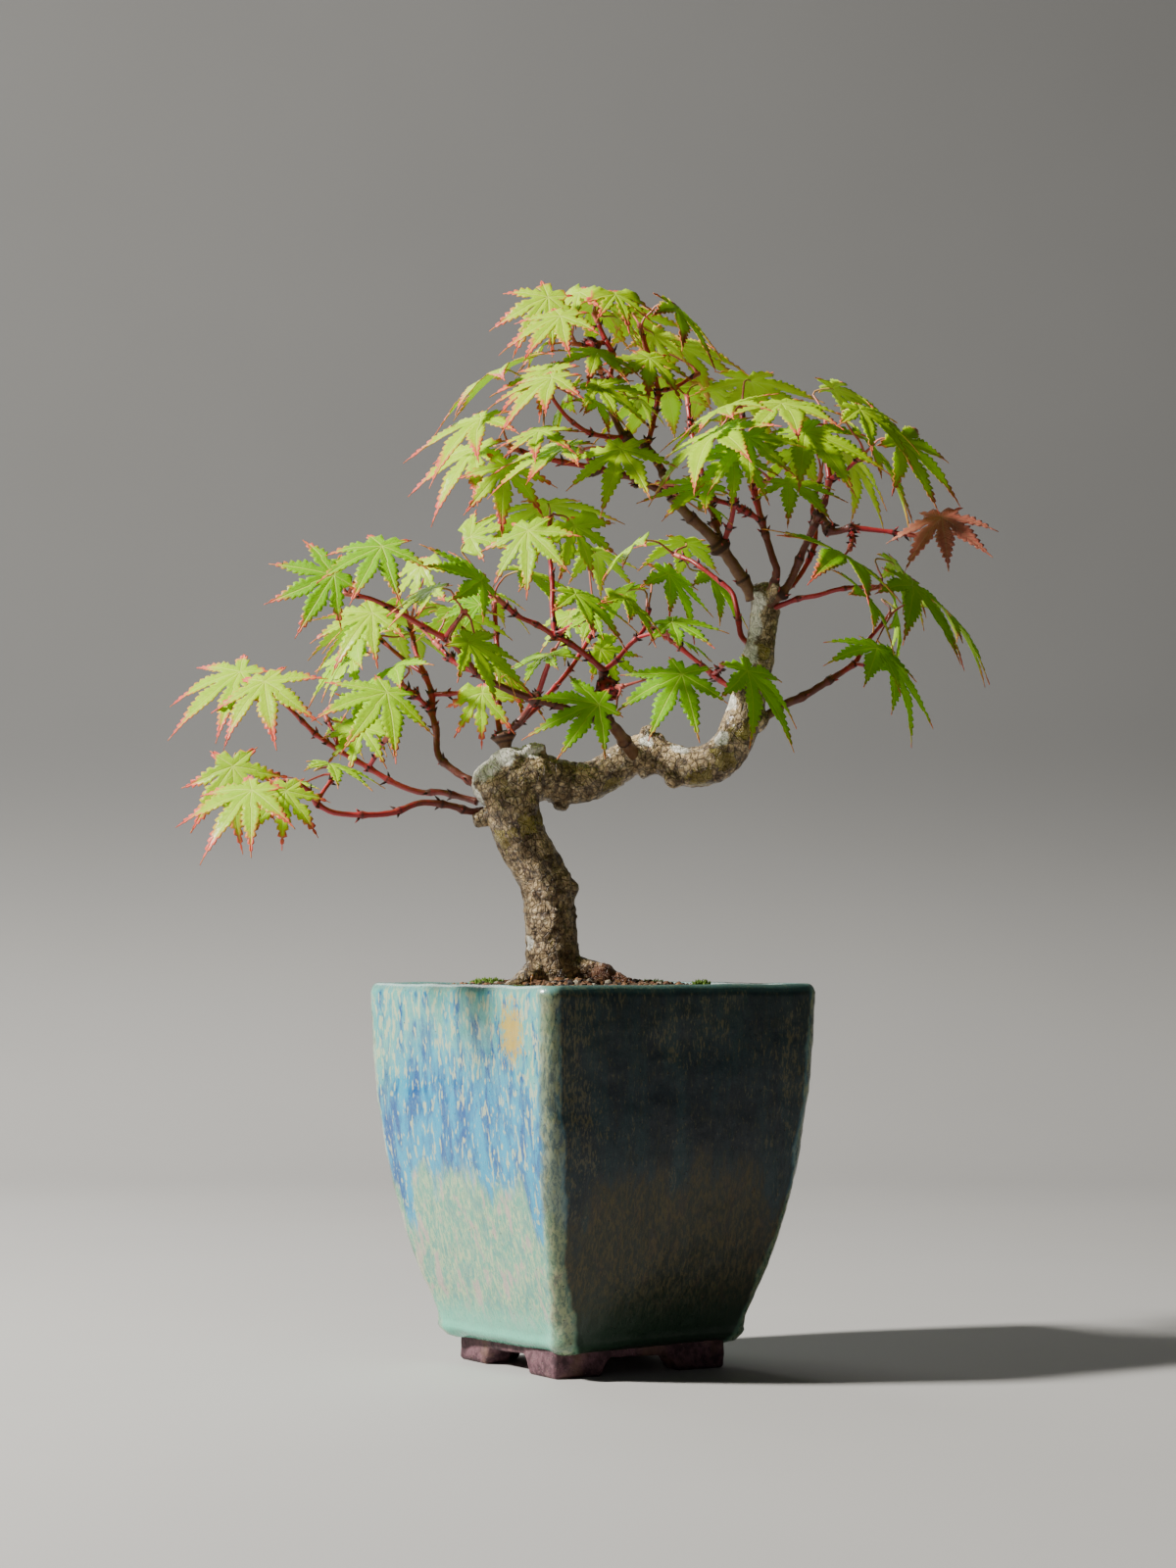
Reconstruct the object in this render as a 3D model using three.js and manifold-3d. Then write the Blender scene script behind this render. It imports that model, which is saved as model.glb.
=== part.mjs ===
// A coral bark Japanese maple trained as a small bonsai, in the square glazed pot that it
// grows in. Millimetres, +Z up. The front of the tree looks towards -Y.
import * as THREE from 'three';
import { mergeVertices } from 'three/addons/utils/BufferGeometryUtils.js';
import Module from 'manifold-3d';

const wasm = await Module();
wasm.setup();

// The pot: a hand-built square, wide at the rim and drawn in to the foot.
const POT_TURN = THREE.MathUtils.degToRad(34.8);
const POT_PROFILE = [
  // half the width, height
  [39, 10], [42.2, 12.4], [43.8, 16], [46.6, 24], [50.2, 35], [54, 50], [57.9, 67],
  [60.6, 82], [62.6, 100], [64, 120], [65, 146.5], [64, 150],
];
const [, SHOULDER_LEVEL] = POT_PROFILE.at(-2);
const POT_CORNER = 7;
const INSIDE_CORNER = 5;
const WALL = 6.3;
const INSIDE_LEVELS = [35, 67, 100];
const FLOOR_TOP = 17;
const DRAIN_RADIUS = 7;
const DRAIN_SIDES = 12;
const DRIP_RADIUS = 4.6;
const DRIP_REACH = 39.2;
const DRIP_LEVEL = 13.8;

// The unglazed foot ring under it, set a little askew, with an arch cut through each side.
const FOOT_TURN = THREE.MathUtils.degToRad(-4.4);
const FOOT_OUTER = 38.3;
const FOOT_INNER = 27;
const FOOT_HEIGHT = 10.6;
const FOOT_CORNER = 2;
const FOOT_BEVEL = 0.8;
const ARCH_HEIGHT = 6.8;
const ARCH_FOOT_WIDTH = 36;
const ARCH_TOP_WIDTH = 27;

// The plastic drain screen on the floor, and the soil over it.
const SCREEN_SIDE = 22;
const SCREEN_THICK = 1;
const SCREEN_HOLES = 2;
const SCREEN_HOLE = 7;
const SCREEN_PITCH = 9.4;
const SOIL_TOP_AT_WALL = 145.5;
const SOIL_MOUND = [
  // share of the width, height above the soil at the wall
  [0.8, 1.6], [0.5, 3.8], [0.26, 5.2],
];

// Clearance between pieces that touch on the real plant, and how far a cut runs past its end.
const SEAT_GAP = 0.3;
const SOIL_GAP = 0.4;
const CUT_PAST = 2;

// The trunk: middle line and half thickness, from under the soil to the cut top.
const TRUNK_LINE = [
  [-12, 0, 130, 9.8], [-13, 0, 139, 12.5], [-13, 0, 151, 12.6], [-15, -1, 161, 11],
  [-16, -1, 172, 10.5], [-17, -2, 186, 11], [-22, -4, 198, 10.2], [-28, -6, 209, 10.6],
  [-31, -7, 219, 11], [-29, -6, 228, 11], [-21, -3, 232, 10.2], [-11, 2, 230, 9],
  [0, 5, 231, 8.2], [8, 6, 235, 8.2], [15, 6, 240, 7.8], [21, 5, 242, 7.8], [29, 3, 240, 7.4],
  [36, 1, 236, 8.2], [45, -1, 236, 8.8], [54, -2, 242, 8.6], [60, -1, 253, 8.2],
  [63, 1, 264, 7.4], [66, 3, 274, 6.8], [68, 4, 287, 6.2], [70, 4, 300, 6.4], [68, 3, 310, 4.4],
];
const TRUNK_SIDES = 9;
const TRUNK_STEP = 14;
const BURLS = [
  // middle, radius
  [-38, -7, 229, 9.5], [-32, -6, 235, 9], [-7, -2, 187, 5.5], [66, -1, 255, 5.5],
  [70, 2, 305, 5.6],
];
const STUB_SIDES = 6;
const STUB_FLARE = 0.8;
const STUB_STEP = 20;
const CUT_STUBS = [
  // from, to, radius
  [[-21, -3, 238], [-20, -5, 245], 2.8],
  [[-40, -8, 216], [-48, -9, 213], 3],
  [[-12, 2, 226], [-12, 1, 219], 2.8],
  [[20, 4, 239], [23, 3, 232], 3.2],
];
const ROOTS = [
  [[-10, -3, 157], [0, -6, 155], [8, -8, 153], [17, -9, 150], [26, -11, 145]],
  [[-18, -3, 157], [-24, -10, 153], [-30, -16, 149], [-37, -22, 144]],
  [[-14, 4, 157], [-16, 14, 152], [-18, 24, 148], [-20, 34, 143]],
  [[-8, 3, 157], [0, 12, 152], [6, 20, 148], [12, 28, 143]],
];
const ROOT_THICK = [5.4, 2.2];
const ROOT_SIDES = 6;
const ROOT_STEP = 18;

// Twigs get more sides as they get thicker: half thickness from, sides.
const TWIG_SIDES = [[2.3, 6], [1.35, 4], [0, 3]];
const TWIG_STEP = 19;

// The leaf: seven pointed lobes that fan out from the top of the stalk.
const LEAF_LENGTH = 40;
const LEAF_SIZES = [0.86, 1.03];
const LEAF_THICK = 0.65;
const LOBES = [
  // turn from the middle lobe in degrees, reach as a share of the middle lobe
  [-128, 0.36], [-77, 0.74], [-38, 0.93], [0, 1], [38, 0.93], [77, 0.74], [128, 0.36],
];
const LOBE_LEAN = 2.5;
const LOBE_REACHES = [0.93, 1.06];
const SHOULDER_TURN = 15.5;
const SHOULDER_REACH = 0.52;
const NOTCH_REACH = 0.26;
const BASE_NOTCH_REACH = 0.09;
const LEAF_ARCH = 0.24;
const LEAF_ARCHES = [0.6, 1.5];

// The stalk: half thickness at the blade, at its neck below the blade and at the twig.
const STALK_THICK = [0.5, 0.45, 0.35];
const STALK_LIFT = THREE.MathUtils.degToRad(32);
const STALK_NECK = 8;
const STALK_ROOM = 0.95;
const STALK_HIDDEN = 3;
const SHOOT_LENGTH = 5;
const SHOOT_THICK = [1.8, 1.6];
const SHOOT_STARTS = [0.3, 0.65];

// How far a leaf may move and turn from its listed place to come clear of the others.
const LEAF_GAP = 0.3;
const LEAF_TRIES = 200;
const LEAF_STRAY = [9, 24, 10];
const HEADING_STRAY = 45;
const DROOP_STRAY = 28;
const LEAF_ROLL = 12;
const FIRST_SEED = 101;
const SEED_STEP = 17;

// A limb is a list of twigs. A twig has its half thickness at both ends and its route. One
// that carries leaves lists each leaf by its heart, where the lobes meet, the heading in degrees
// from +X towards +Y and how far the blade droops below level that way, and, where needed, how
// far its middle lobe is turned from there within the blade and how large the leaf is.
function twig(name, thickStart, thickEnd, route, leaves = []) {
  return { name, thickStart, thickEnd, route, leaves };
}

const LIMBS = {
  low_left: [
    twig('low_left_main', 1.8, 1.3, [
      [-43, -5, 218], [-48, -8, 218], [-55, -11, 220], [-67, -15, 221], [-78, -19, 217],
      [-91, -23, 216], [-101, -25, 217], [-107, -27, 220],
    ]),
    twig('low_left_tip', 1.3, 1.0, [
      [-107, -27, 220], [-111, -30, 226], [-115, -33, 228], [-120, -36, 228],
    ], [
      [-138, -44, 234, 255, 75, 5, 0.85], [-128, -56, 226, 215, 45, -10, 0.85],
      [-117, -52, 225, 270, 65, 0, 0.6],
    ]),
    twig('low_left_side', 1.1, 1.0, [
      [-107, -27, 220], [-105, -22, 225], [-102, -16, 230],
    ], [[-105, -14, 248, 262, 40, 10, 0.9], [-102, -32, 230, 335, 20, 0, 0.65]]),
  ],
  mid_left: [
    twig('mid_left_main', 1.7, 1.2, [
      [-45, -2, 222], [-52, 0, 224], [-60, 2, 226], [-68, 4, 226], [-79, 6, 230], [-89, 8, 236],
      [-101, 9, 243], [-111, 10, 250],
    ]),
    twig('mid_left_tip', 1.2, 1.0, [
      [-111, 10, 250], [-121, 9, 260], [-130, 7, 268],
    ], [[-140, 2, 274, 235, 40, -25], [-129, -12, 269, 260, 45, 15, 0.85]]),
    twig('mid_left_mid', 1.1, 0.9, [
      [-101, 9, 243], [-103, 14, 249], [-106, 18, 255],
    ], [[-94, 12, 263, 330, 40, 0, 0.7]]),
    twig('mid_left_inner', 1.1, 0.9, [
      [-89, 8, 236], [-85, 2, 242], [-82, -4, 246],
    ], [[-89, -16, 252, 250, 45, 0, 0.6]]),
  ],
  upright_left: [
    twig('upright_left_main', 2.0, 1.4, [
      [-43, 0, 227], [-49, 2, 231], [-55, 4, 235], [-61, 7, 241], [-62, 10, 251], [-64, 13, 259],
      [-64, 15, 266], [-67, 18, 274],
    ]),
    twig('upright_left_tip', 1.3, 1.0, [
      [-67, 18, 274], [-71, 22, 284], [-73, 26, 293],
    ], [
      [-83, 30, 303, 170, 25], [-63, 34, 303, 40, 20, 0, 0.75], [-68, 10, 318, 235, 60, 0, 0.5],
    ]),
    twig('upright_left_front', 1.3, 1.1, [
      [-64, 15, 266], [-56, 11, 266], [-45, 8, 267],
    ], [[-43, -8, 265, 262, 75, 0, 0.6], [-36, 20, 275, 350, 30, 0, 0.7]]),
    twig('upright_left_low', 1.2, 1.0, [
      [-64, 13, 259], [-69, 10, 264], [-74, 8, 268],
    ], [[-78, 0, 276, 190, 30, 40, 0.85], [-77, -8, 270, 305, 30, -40, 0.9]]),
    twig('upright_left_back', 1.2, 1.0, [
      [-67, 18, 274], [-76, 26, 281], [-85, 33, 289],
    ], [
      [-98, 36, 285, 240, 50, -50, 0.7], [-88, 52, 302, 110, 20], [-90, 28, 283, 190, 40, 35],
    ]),
  ],
  inner: [
    twig('inner_base', 3.0, 2.6, [[-32, -6, 236], [-34, -6, 244], [-35, -6, 250]]),
    twig('inner_up', 1.5, 1.1, [
      [-36, -5, 249], [-37, -2, 256], [-37, 5, 274], [-38, 12, 290], [-39, 17, 302],
    ], [[-49, 14, 329, 250, 60, 110, 0.55], [-27, 26, 317, 350, 20, 0, 0.8]]),
    twig('inner_front', 1.9, 1.2, [
      [-34, -7, 248], [-27, -11, 255], [-21, -16, 264], [-18, -19, 272], [-16, -22, 277],
    ], [[-16, -30, 279, 210, 25, 35, 0.6], [-8, -26, 294, 250, 50, 0, 0.5]]),
    twig('inner_back', 1.6, 1.1, [
      [-34, -4, 248], [-21, 6, 261], [-11, 16, 273], [-5, 24, 282], [0, 31, 291],
    ], [[4, 38, 286, 300, 55, 50, 0.6], [2, 46, 327, 55, 25, 20, 0.7]]),
  ],
  center: [
    twig('center_stub', 3.4, 2.0, [
      [18, 2, 240], [14, -6, 245], [10, -14, 250], [5, -21, 255], [4, -27, 263], [5, -32, 272],
    ]),
    twig('center_left_tip', 1.5, 1.1, [
      [5, -32, 272], [-1, -35, 277], [-8, -38, 282], [-14, -40, 285], [-21, -42, 289],
      [-28, -45, 292], [-33, -48, 296],
    ], [[-42, -60, 304, 315, 50, -100, 0.75]]),
    twig('center_riser', 1.3, 1.0, [
      [-14, -40, 285], [-15, -37, 297], [-15, -35, 306], [-16, -32, 319], [-16, -30, 328],
    ], [
      [-17, -34, 332, 260, 60, -65, 0.7], [-6, -34, 330, 295, 75, 20, 0.6], [-17, -8, 340, 95, 10],
      [-24, -54, 324, 260, 55, 0, 0.7],
    ]),
    twig('center_low_front', 1.1, 1.0, [
      [-14, -40, 285], [-8, -46, 288], [-1, -52, 291], [3, -56, 293],
    ], [[-6, -70, 298, 295, 30, 35, 0.8], [13, -62, 297, 320, 35, 0, 0.65]]),
    twig('center_bud', 1.3, 0.9, [
      [5, -32, 272], [10, -31, 276], [14, -30, 281], [18, -29, 285], [21, -27, 289], [23, -25, 297],
    ]),
    twig('center_right', 1.0, 0.9, [
      [18, -29, 285], [23, -34, 286], [27, -38, 286],
    ], [[31, -50, 289, 290, 25, 30, 0.65]]),
    twig('center_low', 1.2, 1.0, [
      [4, -27, 263], [7, -34, 265], [10, -39, 265],
    ], [[3, -56, 257, 260, 45, -65, 0.85], [35, -50, 269, 250, 50, -15, 0.9]]),
    twig('front_left_main', 2.1, 1.5, [
      [4, -22, 254], [-4, -28, 255], [-12, -33, 258], [-24, -39, 261], [-35, -44, 265],
      [-44, -47, 270], [-51, -50, 279], [-56, -51, 283],
    ]),
    twig('front_left_tip', 1.4, 1.1, [
      [-56, -51, 283], [-62, -52, 286], [-74, -53, 293], [-85, -54, 298], [-90, -54, 299],
    ], [[-98, -62, 306, 265, 65, -65, 0.8], [-82, -60, 314, 255, 50, -10, 0.8]]),
    twig('front_left_mid', 1.1, 0.9, [
      [-56, -51, 283], [-53, -56, 287], [-50, -60, 290],
    ], [[-46, -76, 279, 290, 45, 55, 0.8], [-60, -68, 300, 205, 30, 0, 0.65]]),
    twig('front_left_inner', 1.2, 0.9, [
      [-44, -47, 270], [-51, -43, 273], [-58, -38, 280],
    ], [[-85, -36, 294, 255, 50, -25, 0.75], [-53, -28, 295, 60, 20, 0, 0.75]]),
  ],
  leader: [
    twig('leader_main', 3.1, 2.4, [
      [65, 3, 304], [62, 1, 309], [58, -1, 315], [52, -5, 323], [45, -8, 330], [38, -11, 336],
      [32, -13, 343],
    ]),
    twig('leader_left_tip', 1.8, 1.1, [
      [32, -13, 343], [22, -16, 347], [14, -18, 350], [1, -20, 353], [-11, -22, 355], [-21, -24, 357],
      [-28, -26, 359],
    ], [
      [-43, -30, 371, 250, 30, -25, 0.95], [-34, -46, 358, 235, 65, 0, 0.7],
      [-45, -12, 362, 240, 45, -20, 0.95],
    ]),
    twig('leader_left_mid', 1.1, 0.9, [
      [1, -20, 353], [-1, -28, 355], [-3, -34, 357],
    ], [[-10, -52, 357, 225, 25, -25], [12, -48, 357, 265, 45, -15, 0.8]]),
    twig('apex_stem', 2.2, 1.3, [
      [32, -13, 343], [28, -8, 354], [22, -4, 363], [14, -1, 368], [10, 1, 375], [7, 3, 385],
      [8, 4, 395], [9, 5, 402], [6, 6, 408],
    ]),
    twig('apex_tip', 1.2, 1.0, [
      [6, 6, 408], [3, 6, 415],
    ], [
      [-6, 2, 427, 235, 40, -30, 0.6], [10, -2, 425, 280, 35, 10, 0.6], [1, 28, 427, 95, 25, 0, 0.8],
    ]),
    twig('apex_left', 1.1, 0.9, [
      [6, 6, 408], [0, 2, 405], [-4, -2, 405],
    ], [[-17, -8, 423, 250, 60, -25, 0.75], [-12, -26, 412, 240, 40, -10, 0.75]]),
    twig('apex_front', 1.1, 0.9, [
      [7, 3, 385], [5, -6, 389], [4, -12, 392],
    ], [
      [2, -24, 398, 280, 25, -15, 0.7], [3, -36, 383, 305, 35, 30, 0.7], [-10, -24, 387, 200, 40, 0, 0.75],
    ]),
    twig('apex_right', 1.5, 1.0, [
      [22, -4, 363], [25, 4, 375], [27, 9, 388], [24, 13, 402], [21, 15, 412],
    ], [
      [34, 10, 422, 335, 45, 0, 0.9], [19, 36, 424, 80, 25, 0, 0.8], [23, -10, 398, 300, 40, -20, 0.7],
    ]),
    twig('apex_far_right', 1.2, 0.9, [
      [27, 9, 388], [34, 18, 391], [41, 24, 396],
    ], [[39, 24, 411, 10, 30], [53, 16, 399, 345, 40]]),
    twig('upper_left', 1.3, 1.0, [
      [14, -1, 368], [7, -8, 367], [-1, -14, 368], [-8, -19, 372], [-13, -24, 377], [-16, -28, 381],
    ], [
      [-15, -38, 389, 240, 35, -30, 0.8], [-34, -14, 393, 205, 25, 25], [-20, -50, 363, 275, 30, 0, 0.6],
      [-14, -46, 379, 230, 40, 0, 0.8],
    ]),
    twig('leader_back', 1.7, 1.0, [
      [52, -5, 323], [50, 4, 334], [47, 13, 347], [44, 22, 362], [41, 29, 375], [40, 34, 386],
    ], [[48, 52, 398, 60, 25], [31, 50, 395, 130, 25]]),
    twig('leader_front', 1.5, 1.0, [
      [53, -5, 325], [56, -14, 335], [56, -22, 345], [54, -30, 355], [52, -35, 362],
    ], [
      [52, -46, 373, 200, 25, 70, 0.75], [46, -54, 366, 210, 25, 30, 1.1], [58, -54, 362, 280, 50, 0, 0.8],
    ]),
  ],
  top_mid: [
    twig('top_mid_main', 2.1, 1.3, [
      [70, 2, 300], [71, -2, 305], [74, -6, 313], [72, -6, 320], [68, -5, 334], [65, -3, 347],
      [63, 0, 357],
    ]),
    twig('top_mid_tip', 1.3, 1.1, [
      [63, 0, 357], [61, 3, 367], [61, 6, 378],
    ], [
      [77, -10, 379, 285, 25, -10, 0.95], [65, 20, 394, 70, 20], [66, 10, 390, 190, 15, -10, 1.1],
    ]),
    twig('top_mid_left', 1.4, 1.0, [
      [68, -5, 334], [57, -12, 339], [47, -18, 341], [37, -23, 343], [30, -26, 345],
    ], [[46, -48, 343, 260, 25, -70, 0.8]]),
    twig('top_mid_front', 1.1, 0.9, [
      [65, -3, 347], [68, -12, 348], [70, -18, 348],
    ], [[77, -36, 345, 290, 25, 15, 0.75], [59, -40, 352, 250, 45, 0, 0.7]]),
  ],
  top_right: [
    twig('top_right_main', 2.2, 1.5, [
      [71, 0, 301], [76, -3, 305], [80, -4, 311], [84, -6, 321], [89, -8, 332], [93, -9, 342],
      [95, -9, 350],
    ]),
    twig('top_right_tip', 1.4, 1.0, [
      [95, -9, 350], [94, -7, 358], [94, -5, 368],
    ], [
      [97, 2, 388, 350, 20, 0, 0.8], [84, -28, 367, 260, 40, 40], [103, -16, 373, 335, 55, 25, 1.1],
    ]),
    twig('right_shoulder', 1.2, 0.9, [
      [95, -9, 350], [100, -16, 352], [105, -22, 356],
    ], [[121, -30, 362, 315, 55, 45, 0.95], [104, -46, 372, 330, 30, 0, 0.75]]),
    twig('top_right_back', 1.5, 1.0, [
      [77, 0, 306], [83, 6, 312], [89, 12, 323], [91, 16, 332], [90, 21, 342], [93, 26, 353],
    ], [[104, 34, 367, 15, 50], [88, 46, 370, 110, 35, 0, 0.85]]),
    twig('bronze', 2.0, 0.9, [
      [91, -8, 336], [96, -11, 329], [103, -13, 330], [112, -15, 329], [119, -16, 328],
      [125, -17, 327],
    ], [[138, -22, 333, 270, 40, 0, 0.8]]),
    twig('right_inner', 1.0, 0.9, [
      [103, -13, 330], [103, -20, 325], [102, -25, 322],
    ], [[97, -44, 316, 345, 30, -85, 1.1]]),
  ],
  right_mid: [
    twig('right_mid_tip', 1.5, 1.0, [
      [70, 2, 298], [77, -1, 301], [83, -3, 303], [90, -5, 304], [97, -6, 306], [104, -7, 307],
      [111, -8, 307],
    ], [
      [127, -14, 307, 345, 45, -20, 1.1], [123, 12, 318, 20, 45, 0, 0.75],
      [106, -30, 303, 340, 45, -45, 0.8],
    ]),
  ],
  right_low: [
    twig('right_low_main', 2.6, 1.5, [
      [63, 2, 253], [71, 2, 257], [77, 3, 261], [84, 4, 264], [97, 7, 272], [106, 9, 278],
    ]),
    twig('right_low_tip', 1.3, 1.0, [
      [106, 9, 278], [112, 12, 288], [118, 14, 295],
    ], [
      [137, 16, 309, 325, 50, 35, 1.1], [113, -8, 281, 340, 35, -60, 0.7],
      [127, 32, 307, 330, 75, -30, 0.75],
    ]),
    twig('right_low_side', 1.1, 0.9, [
      [106, 9, 278], [110, 4, 277], [113, 1, 277],
    ], [[119, -8, 276, 320, 60, 50, 0.9]]),
  ],
  back_left: [
    twig('back_left_tip', 1.5, 1.0, [
      [66, 5, 285], [61, 8, 288], [59, 11, 299], [57, 14, 307], [52, 17, 312], [46, 20, 317],
      [41, 24, 321], [37, 28, 323],
    ], [
      [19, 26, 329, 200, 35, 0, 0.6], [39, 46, 331, 95, 15, 0, 0.7], [49, 50, 318, 340, 50, 0, 0.85],
    ]),
  ],
  low_back: [
    twig('low_back_main', 1.6, 1.3, [[62, 4, 260], [59, 8, 265], [55, 10, 269], [49, 14, 274]]),
    twig('low_back_tip', 1.3, 1.0, [
      [49, 14, 274], [40, 18, 282], [33, 22, 288], [26, 26, 293],
    ], [[15, 36, 310, 160, 30, 0, 0.7], [32, 46, 318, 330, 50, 0, 0.85]]),
    twig('low_front', 1.0, 0.9, [
      [49, 14, 274], [51, 6, 275], [52, -2, 276],
    ], [[61, -28, 272, 305, 50, 25, 0.95]]),
  ],
};

const COLOURS = {
  glaze: new THREE.MeshStandardMaterial({ color: 0x4f8f96, roughness: 0.28, metalness: 0 }),
  soil: new THREE.MeshStandardMaterial({ color: 0x4a3b2e, roughness: 0.95, metalness: 0 }),
  plastic: new THREE.MeshStandardMaterial({ color: 0x23262a, roughness: 0.6, metalness: 0 }),
  bark: new THREE.MeshStandardMaterial({ color: 0x8a7758, roughness: 0.85, metalness: 0 }),
  coral: new THREE.MeshStandardMaterial({ color: 0x7c2c2c, roughness: 0.5, metalness: 0 }),
  leaf: new THREE.MeshStandardMaterial({ color: 0xa9cf2a, roughness: 0.45, metalness: 0 }),
  bronze: new THREE.MeshStandardMaterial({ color: 0xa8564a, roughness: 0.5, metalness: 0 }),
};

// A repeatable random number source, seeded by the piece that it shapes.
function seededDraw(seed) {
  let state = seed;
  return (low, high) => {
    state = (Math.imul(state, 1664525) + 1013904223) >>> 0;
    return low + (high - low) * (state / 4294967296);
  };
}

function solidOf(geometry) {
  geometry.deleteAttribute('normal');
  geometry.deleteAttribute('uv');
  const merged = mergeVertices(geometry, 1e-5);
  return new wasm.Manifold(new wasm.Mesh({
    numProp: 3,
    vertProperties: new Float32Array(merged.attributes.position.array),
    triVerts: new Uint32Array(merged.index.array),
  }));
}

function surfaceOf(solid) {
  const data = solid.getMesh();
  const geometry = new THREE.BufferGeometry();
  geometry.setAttribute('position', new THREE.BufferAttribute(data.vertProperties, 3));
  geometry.setIndex(new THREE.BufferAttribute(data.triVerts, 1));
  return geometry;
}

function meshOf(name, solid, material) {
  const geometry = surfaceOf(solid);
  geometry.computeVertexNormals();
  const mesh = new THREE.Mesh(geometry, material);
  mesh.name = name;
  return mesh;
}

function geometryOf(points, triangles) {
  const geometry = new THREE.BufferGeometry();
  geometry.setAttribute('position', new THREE.Float32BufferAttribute(points.flat(), 3));
  geometry.setIndex(triangles.flat());
  return geometry;
}

function joined(solids) {
  return solids.reduce((whole, next) => whole.add(next));
}

function largestPart(solid) {
  const parts = solid.decompose();
  return parts.reduce((best, part) => (part.volume() > best.volume() ? part : best));
}

// A closed body through rings of equally many points, lowest ring first.
function loft(rings) {
  const around = rings[0].length;
  const points = rings.flat();
  const triangles = [];
  for (let ring = 0; ring < rings.length - 1; ring += 1) {
    for (let side = 0; side < around; side += 1) {
      const next = (side + 1) % around;
      const low = ring * around;
      const high = low + around;
      triangles.push([low + side, low + next, high + next]);
      triangles.push([low + side, high + next, high + side]);
    }
  }
  const top = (rings.length - 1) * around;
  for (let side = 1; side < around - 1; side += 1) {
    triangles.push([0, side + 1, side]);
    triangles.push([top, top + side, top + side + 1]);
  }
  return geometryOf(points, triangles);
}

// A round tube along a smooth route, with its half thickness given at each route point.
function tube(route, thick, sides, step) {
  const stops = route.map((point) => new THREE.Vector3(...point));
  const curve = new THREE.CatmullRomCurve3(stops, false, 'centripetal');
  const spans = Math.max(1, Math.round(curve.getLength() / step));
  const normal = new THREE.Vector3();
  let lastTangent = curve.getTangentAt(0);
  const helper = Math.abs(lastTangent.z) > 0.8 ? new THREE.Vector3(0, 1, 0) : new THREE.Vector3(0, 0, 1);
  normal.crossVectors(lastTangent, helper).normalize();
  const rings = [];
  for (let ring = 0; ring <= spans; ring += 1) {
    const share = ring / spans;
    const middle = curve.getPointAt(share);
    const tangent = curve.getTangentAt(share);
    normal.applyQuaternion(new THREE.Quaternion().setFromUnitVectors(lastTangent, tangent));
    lastTangent = tangent;
    const across = new THREE.Vector3().crossVectors(tangent, normal);
    const place = curve.getUtoTmapping(share) * (stops.length - 1);
    const before = Math.min(Math.floor(place), stops.length - 2);
    const radius = THREE.MathUtils.lerp(thick[before], thick[before + 1], place - before);
    const points = [];
    for (let side = 0; side < sides; side += 1) {
      const angle = (2 * Math.PI * side) / sides;
      const point = middle.clone();
      point.addScaledVector(normal, radius * Math.cos(angle));
      point.addScaledVector(across, radius * Math.sin(angle));
      points.push(point.toArray());
    }
    rings.push(points);
  }
  return loft(rings);
}

// A tube with straight spans from stop to stop.
function jointedTube(stops, thick, sides) {
  const rings = stops.map((stop, index) => {
    const before = stops[Math.max(index - 1, 0)];
    const after = stops[Math.min(index + 1, stops.length - 1)];
    const tangent = after.clone().sub(before).normalize();
    const level = new THREE.Vector3().crossVectors(new THREE.Vector3(0, 0, 1), tangent).normalize();
    const rise = new THREE.Vector3().crossVectors(tangent, level);
    return Array.from({ length: sides }, (_, side) => {
      const angle = (2 * Math.PI * side) / sides;
      const point = stop.clone();
      point.addScaledVector(level, thick[index] * Math.cos(angle));
      point.addScaledVector(rise, thick[index] * Math.sin(angle));
      return point.toArray();
    });
  });
  return loft(rings);
}

function evenTaper(count, start, end) {
  return Array.from({ length: count }, (_, stop) => start + ((end - start) * stop) / (count - 1));
}

function ball(centre, radius) {
  const geometry = new THREE.IcosahedronGeometry(radius, 1);
  geometry.translate(...centre);
  return solidOf(geometry);
}

// A square with rounded corners at one height, counter-clockwise.
function squareRing(half, corner, height, centre = [0, 0]) {
  const cornerSteps = 2;
  const points = [];
  for (let quarter = 0; quarter < 4; quarter += 1) {
    const middle = Math.PI / 4 + (quarter * Math.PI) / 2;
    const reach = (half - corner) * Math.SQRT2;
    for (let step = 0; step <= cornerSteps; step += 1) {
      const angle = (quarter * Math.PI) / 2 + (step * Math.PI) / 2 / cornerSteps;
      points.push([
        centre[0] + reach * Math.cos(middle) + corner * Math.cos(angle),
        centre[1] + reach * Math.sin(middle) + corner * Math.sin(angle),
        height,
      ]);
    }
  }
  return points;
}

function potHalfAt(height) {
  const within = Math.min(height, SHOULDER_LEVEL);
  const above = Math.max(1, POT_PROFILE.findIndex(([, level]) => level >= within));
  const [lowHalf, lowLevel] = POT_PROFILE[above - 1];
  const [highHalf, highLevel] = POT_PROFILE[above];
  return THREE.MathUtils.mapLinear(within, lowLevel, highLevel, lowHalf, highHalf);
}

// The inside of the pot as rings, from the floor up, drawn in by the wall and a clearance.
function insideRings(bottom, top, inset) {
  const levels = [bottom, ...INSIDE_LEVELS, top];
  return levels.map((level) => squareRing(potHalfAt(level) - WALL - inset, INSIDE_CORNER, level));
}

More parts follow.
